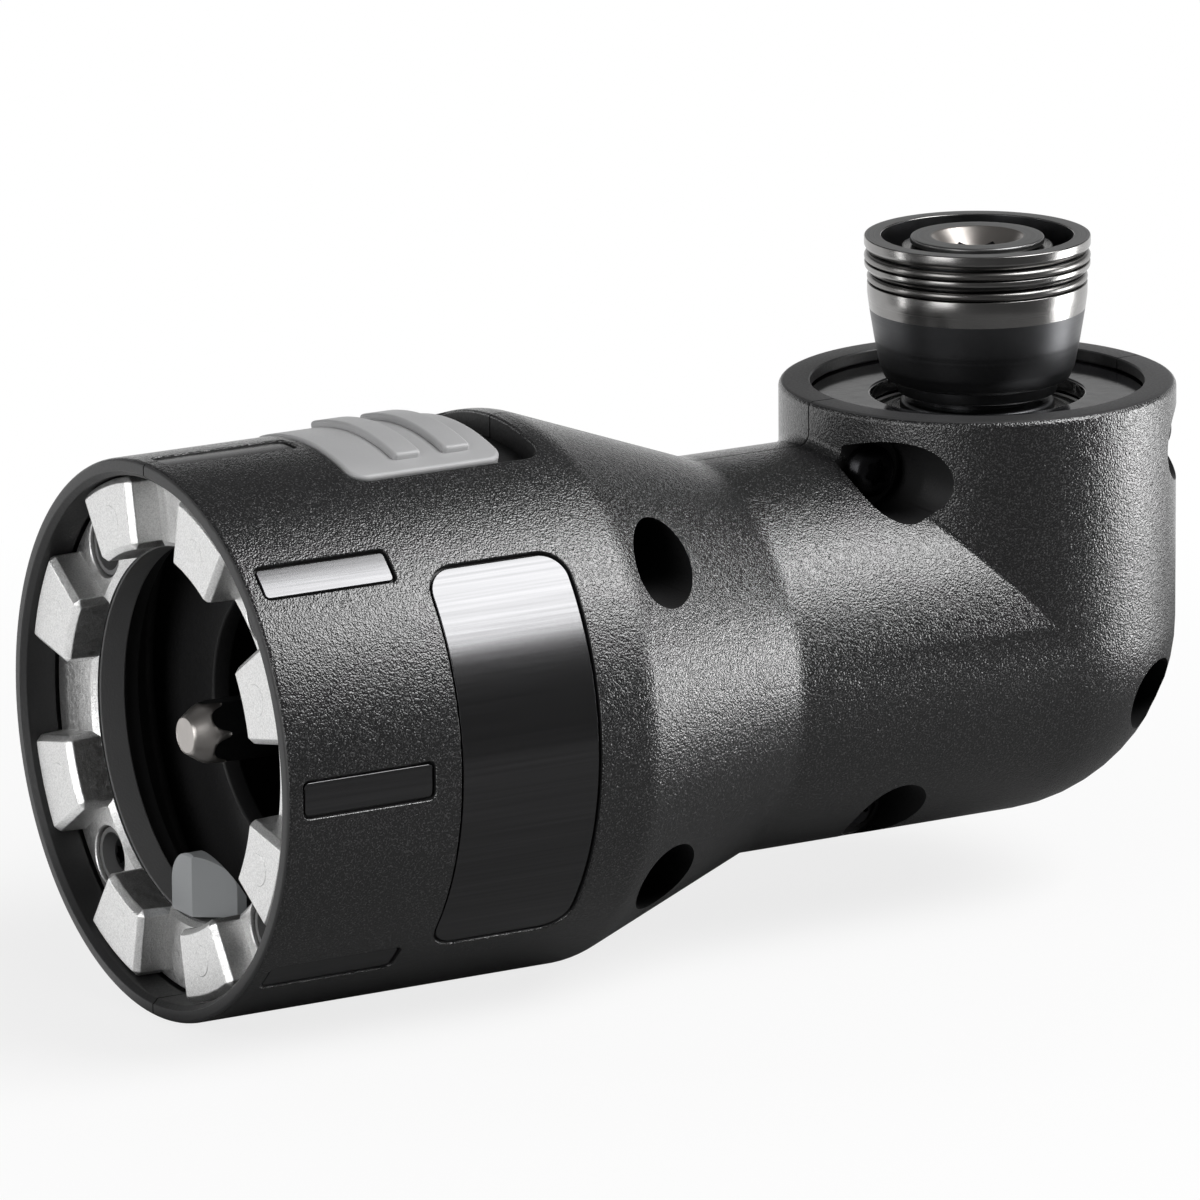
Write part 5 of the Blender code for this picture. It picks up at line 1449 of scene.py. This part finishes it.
@dataclass
class Head:
    """Cover disc in the head, and the spindle's top with its socket and washer."""

    finishes: Finishes
    cover_r: float = 18.7 * MM
    cover_sunk: float = 0.35 * MM
    hole_r: float = 11.65 * MM
    spigot_r: float = 13.0 * MM
    top_z: float = 42.3 * MM
    head_r: float = 7.3 * MM
    stem_r: float = 6.6 * MM
    mouth_r: float = 4.95 * MM
    mouth_depth: float = 1.8 * MM
    bit_flats: float = 6.4 * MM
    washer_r: float = 8.27 * MM
    dark_from: float = 22.5 * MM

    def cover(self) -> Object:
        """Disc with a step near its edge and a spigot below."""
        low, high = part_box("head_cover")
        top = high.z - self.cover_sunk
        return shade(revolve("cover_disc", filleted([
            (top - 0.8 * MM, self.cover_r, 0.0),
            (top, self.cover_r, 0.15 * MM),
            (top, self.hole_r, 0.25 * MM),
            (low.z, self.hole_r, 0.15 * MM),
            (low.z, self.spigot_r, 0.0),
            (top - 0.8 * MM, self.spigot_r, 0.0),
        ], closed=True, segments=4), Axis.OUTPUT, ON_OUTPUT, 144))

    def spindle(self) -> Object:
        """Spindle from its foot to its coned mouth, with the hexagonal socket."""
        low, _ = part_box("spindle")
        bearing_low, bearing_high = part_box("output_bearing_inner")
        foot_r, gear_seat_r, flange_r, bearing_seat_r, land_r = (
            r * MM for r in (3.7, 5.0, 9.2, 8.2, 8.45))
        foot_end, gear_end, land_end = -9.7 * MM, 15.0 * MM, 24.3 * MM
        seat_start, seat_end = bearing_low.z - 0.3 * MM, bearing_high.z + 0.3 * MM
        under_head = self.top_z - 0.7 * MM
        blank = revolve("spindle_top", filleted([
            (low.z, 0.0, 0.0),
            (low.z, foot_r, 0.4 * MM),
            (foot_end, foot_r, 0.0),
            (foot_end, gear_seat_r, 0.2 * MM),
            (gear_end, gear_seat_r, 0.0),
            (gear_end, flange_r, 0.2 * MM),
            (seat_start, flange_r, 0.2 * MM),
            (seat_start, bearing_seat_r, 0.0),
            (seat_end, bearing_seat_r, 0.0),
            (seat_end, land_r, 0.0),
            (land_end, land_r, 0.5 * MM),
            (land_end, self.stem_r, 0.0),
            (under_head, self.stem_r, 0.0),
            (under_head, self.head_r, 0.1 * MM),
            (self.top_z, self.head_r, 0.22 * MM),
            (self.top_z, self.mouth_r, 0.3 * MM),
            (self.top_z - self.mouth_depth, self.bit_flats / 2 + 0.1 * MM, 0.0),
            (self.top_z - self.mouth_depth, 0.0, 0.0),
        ], segments=4), Axis.OUTPUT, ON_OUTPUT, 96)
        corner = self.bit_flats / math.sqrt(3)
        outline = [Axis.OUTPUT.point(self.top_z - 18.0 * MM, corner, math.pi / 3 * (k + 0.5), ON_OUTPUT)
                   for k in range(6)]
        cut(blank, prism("socket", outline, Vector((0, 0, 20 * MM))))
        ball_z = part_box("lock_ball_1")[0].lerp(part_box("lock_ball_1")[1], 0.5).z
        cut(blank, rod("ball_holes", (80 * MM, 130 * MM), 2.2 * MM, Axis.DRIVE, Vector((0, 0, ball_z)), 32))
        return shade(blank)

    def bearing_ring(self) -> Object:
        """Outer ring of the top bearing with the pressed shield that shows round the collar."""
        low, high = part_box("output_bearing_outer")
        outer = (high.y - low.y) / 2
        return shade(revolve("bearing_with_shield", filleted([
            (low.z, outer, 0.2 * MM),
            (high.z, outer, 0.2 * MM),
            (high.z, outer - 1.1 * MM, 0.15 * MM),
            (high.z - 0.25 * MM, outer - 1.25 * MM, 0.0),
            (high.z - 0.1 * MM, outer - 1.7 * MM, 0.2 * MM),
            (high.z - 0.1 * MM, outer - 2.5 * MM, 0.2 * MM),
            (high.z - 0.4 * MM, outer - 3.0 * MM, 0.05 * MM),
            (high.z - 0.5 * MM, outer - 3.0 * MM, 0.0),
            (high.z - 0.3 * MM, outer - 2.4 * MM, 0.0),
            (high.z - 0.35 * MM, outer - 1.0 * MM, 0.0),
            (low.z, outer - 1.0 * MM, 0.0),
        ], closed=True, segments=3), Axis.OUTPUT, ON_OUTPUT, 128))

    def washer(self) -> Object:
        """Washer under the spindle's head."""
        low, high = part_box("retaining_ring")
        return shade(revolve("washer", filleted([
            (low.z, self.stem_r + 0.3 * MM, 0.0),
            (low.z, self.washer_r, 0.15 * MM),
            (high.z, self.washer_r, 0.2 * MM),
            (high.z, self.stem_r + 0.3 * MM, 0.0),
        ], closed=True, segments=3), Axis.OUTPUT, ON_OUTPUT, 96))

    def build(self) -> list[Piece]:
        """Make the cover, the spindle and the washer."""
        spindle = dressed(self.spindle(), self.finishes.spindle, self.finishes.black, self.finishes.annulus)
        for face in spindle.data.polygons:
            radial = (face.center - ON_OUTPUT).xy.length
            if self.dark_from < face.center.z < self.top_z - 2.5 * MM:
                face.material_index = 1
            elif face.center.z > self.dark_from and radial > self.mouth_r + 0.3 * MM:
                face.material_index = 2
        return [
            Piece(dressed(self.cover(), self.finishes.cover), "housing", "cover", ("head_cover",)),
            Piece(dressed(self.bearing_ring(), self.finishes.bearing), "housing", "steel",
                  ("output_bearing_outer",)),
            Piece(spindle, "output", "steel", ("spindle",)),
            Piece(dressed(self.washer(), self.finishes.polished), "output", "black_steel",
                  ("retaining_ring",)),
        ]


@dataclass
class Collar:
    """Locking collar with its polished bands, black taper and two grip rings."""

    finishes: Finishes
    band_r: float = 12.33 * MM
    main_band_r: float = 12.0 * MM
    mouth_r: float = 10.47 * MM
    bore_r: float = 6.9 * MM
    relief_r: float = 7.6 * MM
    foot_r: float = 8.7 * MM
    taper: tuple[Corner, ...] = (
        (31.0 * MM, 11.22 * MM, 8.0 * MM), (28.2 * MM, 10.67 * MM, 4.0 * MM),
        (26.75 * MM, 10.1 * MM, 0.5 * MM), (26.45 * MM, 8.75 * MM, 0.1 * MM))
    polished_until: float = 34.45 * MM
    ring_wire_r: float = 0.52 * MM
    ring_heights: tuple[float, float] = (40.2 * MM, 37.9 * MM)
    ring_outer_r: tuple[float, float] = (12.33 * MM, 12.02 * MM)

    def grooves(self) -> list[Corner]:
        """Outside from the top edge to the top of the main band."""
        corners: list[Corner] = []
        walls = (self.band_r, self.band_r - 0.03 * MM, self.main_band_r)
        for number, height in enumerate(self.ring_heights):
            floor = self.ring_outer_r[number] - 2 * self.ring_wire_r - 0.1 * MM
            above = height + self.ring_wire_r + 0.22 * MM
            below = height - self.ring_wire_r - 0.03 * MM
            corners += [
                (above + 0.5 * MM, walls[number], 0.4 * MM),
                (above, walls[number] - 0.4 * MM, 0.1 * MM),
                (above, floor, 0.0),
                (below, floor, 0.0),
                (below, walls[number + 1], 0.07 * MM),
            ]
        return corners

    def collar(self) -> Object:
        """The turned collar."""
        low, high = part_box("locking_collar")
        top = high.z
        foot = low.z - 0.12 * MM
        relief_r = self.relief_r + 0.35 * MM
        mouth_floor = low.z + 6.7 * MM
        outside: list[Corner] = [
            (top, self.band_r, 0.14 * MM), *self.grooves(),
            (36.1 * MM, self.main_band_r, 6.0 * MM),
            (self.polished_until, 11.78 * MM, 0.0),
            *self.taper,
            (foot, self.foot_r, 0.15 * MM),
            (foot, relief_r, 0.1 * MM),
            (low.z + 2.1 * MM, relief_r, 0.0),
            (low.z + 2.8 * MM, self.bore_r, 0.0),
            (mouth_floor, self.bore_r, 0.0),
            (mouth_floor, self.mouth_r, 0.5 * MM),
            (top, self.mouth_r, 0.12 * MM),
        ]
        profile = filleted(outside, True, 4)
        collar = shade(revolve("locking_collar_turned", profile, Axis.OUTPUT, ON_OUTPUT, 160))
        dressed(collar, self.finishes.polished, self.finishes.black, self.finishes.annulus)
        groove_r = self.main_band_r - 0.6 * MM
        for face in collar.data.polygons:
            radial = (face.center - ON_OUTPUT).xy.length
            if face.center.z < self.polished_until or radial < self.mouth_r + 0.02 * MM:
                face.material_index = 1
            elif face.center.z > top - 0.01 * MM:
                face.material_index = 2
            elif face.center.z < self.ring_heights[0] + 1.0 * MM and radial < groove_r:
                face.material_index = 1
        return collar

    def ring(self, number: int) -> Object:
        """One grip ring of round wire."""
        middle = self.ring_heights[number]
        wire = self.ring_wire_r
        circle = self.ring_outer_r[number] - wire
        turns = [2 * math.pi * k / 20 for k in range(20)]
        profile = [(middle + wire * math.sin(t), circle + wire * math.cos(t)) for t in turns]
        return shade(revolve(("upper_ring", "lower_ring")[number], profile, Axis.OUTPUT, ON_OUTPUT, 160))

    def build(self) -> list[Piece]:
        """Make the collar and its rings."""
        pieces = [Piece(self.collar(), "collar", "black_steel", ("locking_collar",))]
        for number, node in enumerate(("grip_ring_upper", "grip_ring_lower")):
            ring = dressed(self.ring(number), self.finishes.grip)
            pieces.append(Piece(ring, "collar", "inner_plastic", (node,)))
        return pieces


@dataclass(frozen=True)
class Coil:
    """Helical spring of round wire between two stations of an axis.

    Attributes:
        name: Name of the piece.
        node: CAD node that it stands for.
        body: Body that it rides on.
        joint: Joint that presses it together.
        axis: Axis of the coil.
        at: Point on that axis.
        start: Station of the end that stays.
        end: Station of the end that is pressed.
        circle_r: Radius of the coil's circle.
        wire_r: Radius of the wire.
        turns: Number of turns.
        keep: Share of the length that is left at the joint's far limit; not used.
    """

    name: str
    node: str
    body: str
    joint: str
    axis: Axis
    at: Vector
    start: float
    end: float
    circle_r: float
    wire_r: float
    turns: float
    keep: float

    def build(self, material: Material) -> Piece:
        """Make the coil."""
        way = 1 if self.end > self.start else -1
        first, last = self.start + way * self.wire_r, self.end - way * self.wire_r
        count, around = int(self.turns * 28), 8
        bm = bmesh.new()
        rings = []
        for i in range(count + 1):
            share = i / count
            turn = 2 * math.pi * self.turns * share
            ring = []
            for k in range(around):
                t = 2 * math.pi * k / around
                station = first + (last - first) * share + self.wire_r * math.sin(t)
                ring.append(bm.verts.new(self.axis.point(station, self.circle_r + self.wire_r * math.cos(t),
                                                         turn, self.at)))
            rings.append(ring)
        for a, b in zip(rings, rings[1:]):
            bridge(bm, a, b)
        for ring in (rings[0], rings[-1]):
            bm.faces.new(ring)
        coil = dressed(shade(object_from(self.name, bm)), material)
        return Piece(coil, self.body, "spring", (self.node,))

    def press(self, coil: Object) -> None:
        """Give the coil its own copy of its mesh."""
        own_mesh(coil)


def coils() -> list[Coil]:
    """Both springs, between the seats of the CAD nodes."""
    latch_low, latch_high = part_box("latch_spring")
    collar_low, collar_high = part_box("collar_spring")
    travel = {j["name"]: j["range_m"][1] for j in FRAME["joints"] if "range_m" in j}
    latch_room = latch_high.x - latch_low.x
    collar_room = collar_high.z - collar_low.z
    middle_z = (latch_low.z + latch_high.z) / 2
    radius = (collar_high.y - collar_low.y) / 2
    return [
        Coil("latch_coil", "latch_spring", "housing", "release_slide", Axis.DRIVE, Vector((0, 0, middle_z)),
             latch_high.x, latch_low.x, (latch_high.z - latch_low.z) / 2 - 0.25 * MM, 0.25 * MM, 7.5,
             1.0 - travel["release_slide"] / latch_room),
        Coil("collar_coil", "collar_spring", "output", "collar_slide", Axis.OUTPUT, ON_OUTPUT,
             collar_high.z, collar_low.z, radius - 0.45 * MM, 0.4 * MM, 5.5,
             1.0 - travel["collar_slide"] / collar_room),
    ]


@dataclass
class KeptNodes:
    """CAD nodes whose shape is right, which only get their finish."""

    finishes: Finishes

    def build(self) -> list[Piece]:
        """Dress the nodes in place."""
        steel = ("bevel_pinion", "bevel_gear", "rear_bearing_inner", "rear_bearing_outer",
                 "lock_ball_1", "lock_ball_2")
        by_finish = {
            self.finishes.spindle: steel,
            self.finishes.bronze: ("front_bush", "foot_bush", "rear_bearing_cage", "output_bearing_cage"),
            self.finishes.bearing: ("output_bearing_inner",),
        }
        for material, names in by_finish.items():
            for name in names:
                dressed(FRAME["nodes"][name], material)
                LOG.info("%s: kept, %s", name, material.name)
        return []


# Studio


@dataclass(frozen=True)
class Lamp:
    """Soft lamp that looks at the object.

    Attributes:
        name: Name of the lamp.
        direction: Where it stands, seen from the object.
        distance: How far away it stands.
        size: Width and height of its face.
        power: Power in watts.
    """

    name: str
    direction: tuple[float, float, float]
    distance: float
    size: tuple[float, float]
    power: float

    def build(self, centre: Vector) -> None:
        """Set up the lamp."""
        data = bpy.data.lights.new(self.name, "AREA")
        data.shape = "RECTANGLE"
        data.size, data.size_y = self.size
        data.energy = self.power
        lamp = bpy.data.objects.new(self.name, data)
        bpy.context.scene.collection.objects.link(lamp)
        towards = Vector(self.direction).normalized()
        lamp.visible_camera = False
        lamp.location = centre + towards * self.distance
        lamp.rotation_euler = towards.to_track_quat("Z", "Y").to_euler()


@dataclass
class Studio:
    """Camera at the photograph's angle, pale floor, white surround and soft lamps."""

    place: Vector = field(default_factory=lambda: Vector((-0.5375, -0.9929, 0.2947)))
    azimuth: float = -30.842
    elevation: float = 13.929
    roll: float = -0.442
    lens: float = 333.17
    floor_z: float = -0.0302
    floor_r: float = 0.2
    ambient: float = 0.1
    behind: tuple[float, float, float] = (0.513, 0.859, 0.0)
    sweep_across: tuple[float, float] = (0.1, 0.4)
    sweep_up: tuple[float, float] = (0.16, 0.28)
    floor_rear: tuple[float, float, float] = (-0.5, 0.83, 0.0)
    floor_rear_span: tuple[float, float] = (0.0, 0.015)
    floor_mirrored: float = 0.92
    centre: Vector = field(default_factory=lambda: Vector((0.055, 0.0, 0.005)))

    def camera(self) -> None:
        """Set up the camera."""
        data = bpy.data.cameras.new("camera")
        data.lens = self.lens
        data.sensor_width = 36.0
        data.clip_start, data.clip_end = 0.05, 20.0
        camera = bpy.data.objects.new("camera", data)
        bpy.context.scene.collection.objects.link(camera)
        a, e = math.radians(self.azimuth), math.radians(self.elevation)
        back = Vector((math.sin(a) * math.cos(e), -math.cos(a) * math.cos(e), math.sin(e)))
        turn = (-back).to_track_quat("-Z", "Y").to_matrix().to_4x4()
        roll = Matrix.Rotation(math.radians(self.roll), 4, "Z")
        camera.matrix_world = Matrix.Translation(self.place) @ turn @ roll
        bpy.context.scene.camera = camera

    def surround(self) -> None:
        """World of soft light, with a white backdrop for camera, glossy and transmission rays.

        Metal shows the backdrop only where it stands, behind the object and up to the horizon.
        """
        world = bpy.data.worlds.new("surround")
        bpy.context.scene.world = world
        world.use_nodes = True
        world.node_tree.nodes.clear()
        sky = Nodes(world.node_tree)
        path = sky.node("ShaderNodeLightPath", {}).outputs
        towards = sky.node("ShaderNodeTexCoord", {}).outputs["Generated"]
        across = sky.ranged(sky.vector_maths("DOT_PRODUCT", towards, self.behind), self.sweep_across)
        height = sky.node("ShaderNodeSeparateXYZ", {0: towards}).outputs["Z"]
        below = sky.ranged(height, self.sweep_up, (1.0, 0.0))
        shiny = sky.maths("MAXIMUM", path["Is Glossy Ray"], path["Is Transmission Ray"])
        seen = sky.maths("MULTIPLY", sky.maths("MULTIPLY", across, below), shiny)
        share = sky.maths("MAXIMUM", seen, path["Is Camera Ray"])
        soft, white = (sky.node("ShaderNodeBackground", {0: (1.0, 1.0, 1.0, 1.0), 1: strength}).outputs[0]
                       for strength in (self.ambient, 1.0))
        mix = sky.node("ShaderNodeMixShader", {0: share, 1: soft, 2: white})
        sky.node("ShaderNodeOutputWorld", {0: mix.outputs[0]})

    def floor(self) -> None:
        """Round white floor that keeps a faint shadow and fades into the backdrop at its edge.

        Metal shows it white behind the mouth, where the sweep begins, and dim in front.
        """
        bm = bmesh.new()
        bmesh.ops.create_circle(bm, cap_ends=True, segments=96, radius=self.floor_r)
        bmesh.ops.translate(bm, vec=(self.centre.x, 0, self.floor_z), verts=bm.verts)
        mesh = bpy.data.meshes.new("floor")
        bm.to_mesh(mesh)
        bm.free()
        floor = add_object("floor", mesh)
        sketch = Sketch("white floor", (0.9, 0.9, 0.9), 0.9)
        path = sketch.node("ShaderNodeLightPath", {}).outputs
        camera = path["Is Camera Ray"]
        away = sketch.vector_maths("LENGTH", sketch.place(centre=Vector((self.centre.x, 0, self.floor_z))))
        plain = sketch.ranged(away, (0.3 * self.floor_r, self.floor_r), (0.8, 1.0))
        shiny = sketch.maths("MAXIMUM", path["Is Glossy Ray"], path["Is Transmission Ray"])
        rear = sketch.vector_maths("DOT_PRODUCT", sketch.place(), self.floor_rear)
        lit = sketch.ranged(rear, self.floor_rear_span, (0.0, self.floor_mirrored))
        share = sketch.maths("MAXIMUM", sketch.maths("MULTIPLY", plain, camera),
                             sketch.maths("MULTIPLY", shiny, lit))
        glow = sketch.node("ShaderNodeEmission", {"Color": (1.0, 1.0, 1.0, 1.0), "Strength": 1.0})
        dim = sketch.node("ShaderNodeBsdfDiffuse", {"Color": (0.2, 0.2, 0.2, 1.0)})
        body = sketch.node("ShaderNodeMixShader", {0: camera, 1: dim.outputs[0], 2: sketch.shader.outputs[0]})
        mix = sketch.node("ShaderNodeMixShader", {0: share, 1: body.outputs[0], 2: glow.outputs[0]})
        output = next(n for n in sketch.tree.nodes if n.type == "OUTPUT_MATERIAL")
        sketch.tree.links.new(mix.outputs[0], output.inputs["Surface"])
        dressed(floor, sketch.material)

    def build(self) -> None:
        """Set up the whole studio."""
        self.camera()
        self.surround()
        self.floor()
        lamps = (
            Lamp("key", (0.5, -0.48, 0.74), 0.7, (0.48, 0.4), 5.0),
            Lamp("right panel", (0.93, -0.32, -0.12), 0.6, (0.26, 0.36), 2.7),
            Lamp("left panel", (-0.926, -0.377, 0.25), 0.8, (0.36, 0.6), 2.3),
            Lamp("left rear strip", (-0.876, 0.482, 0.1), 0.7, (0.08, 0.6), 0.8),
        )
        for lamp in lamps:
            lamp.build(self.centre)
        bpy.context.scene.view_settings.view_transform = "Standard"


def main() -> None:
    """Build the studio and every sub-assembly, and hand the pieces over."""
    logging.basicConfig(level=logging.INFO, format="%(name)s %(message)s")
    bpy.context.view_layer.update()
    Studio().build()
    finishes = Finishes()
    inlays, latch = Inlays(finishes), Latch(finishes)
    pieces = Housing(finishes).build(inlays, latch)
    for part in (inlays, latch, Mouth(finishes), Screws(finishes), Drive(finishes), Head(finishes),
                 Collar(finishes), KeptNodes(finishes)):
        pieces += part.build()
    for coil in coils():
        pieces.append(coil.build(finishes.spring))
        coil.press(pieces[-1].obj)
    for piece in pieces:
        piece.hand_over()


if __name__ == "__main__":
    main()
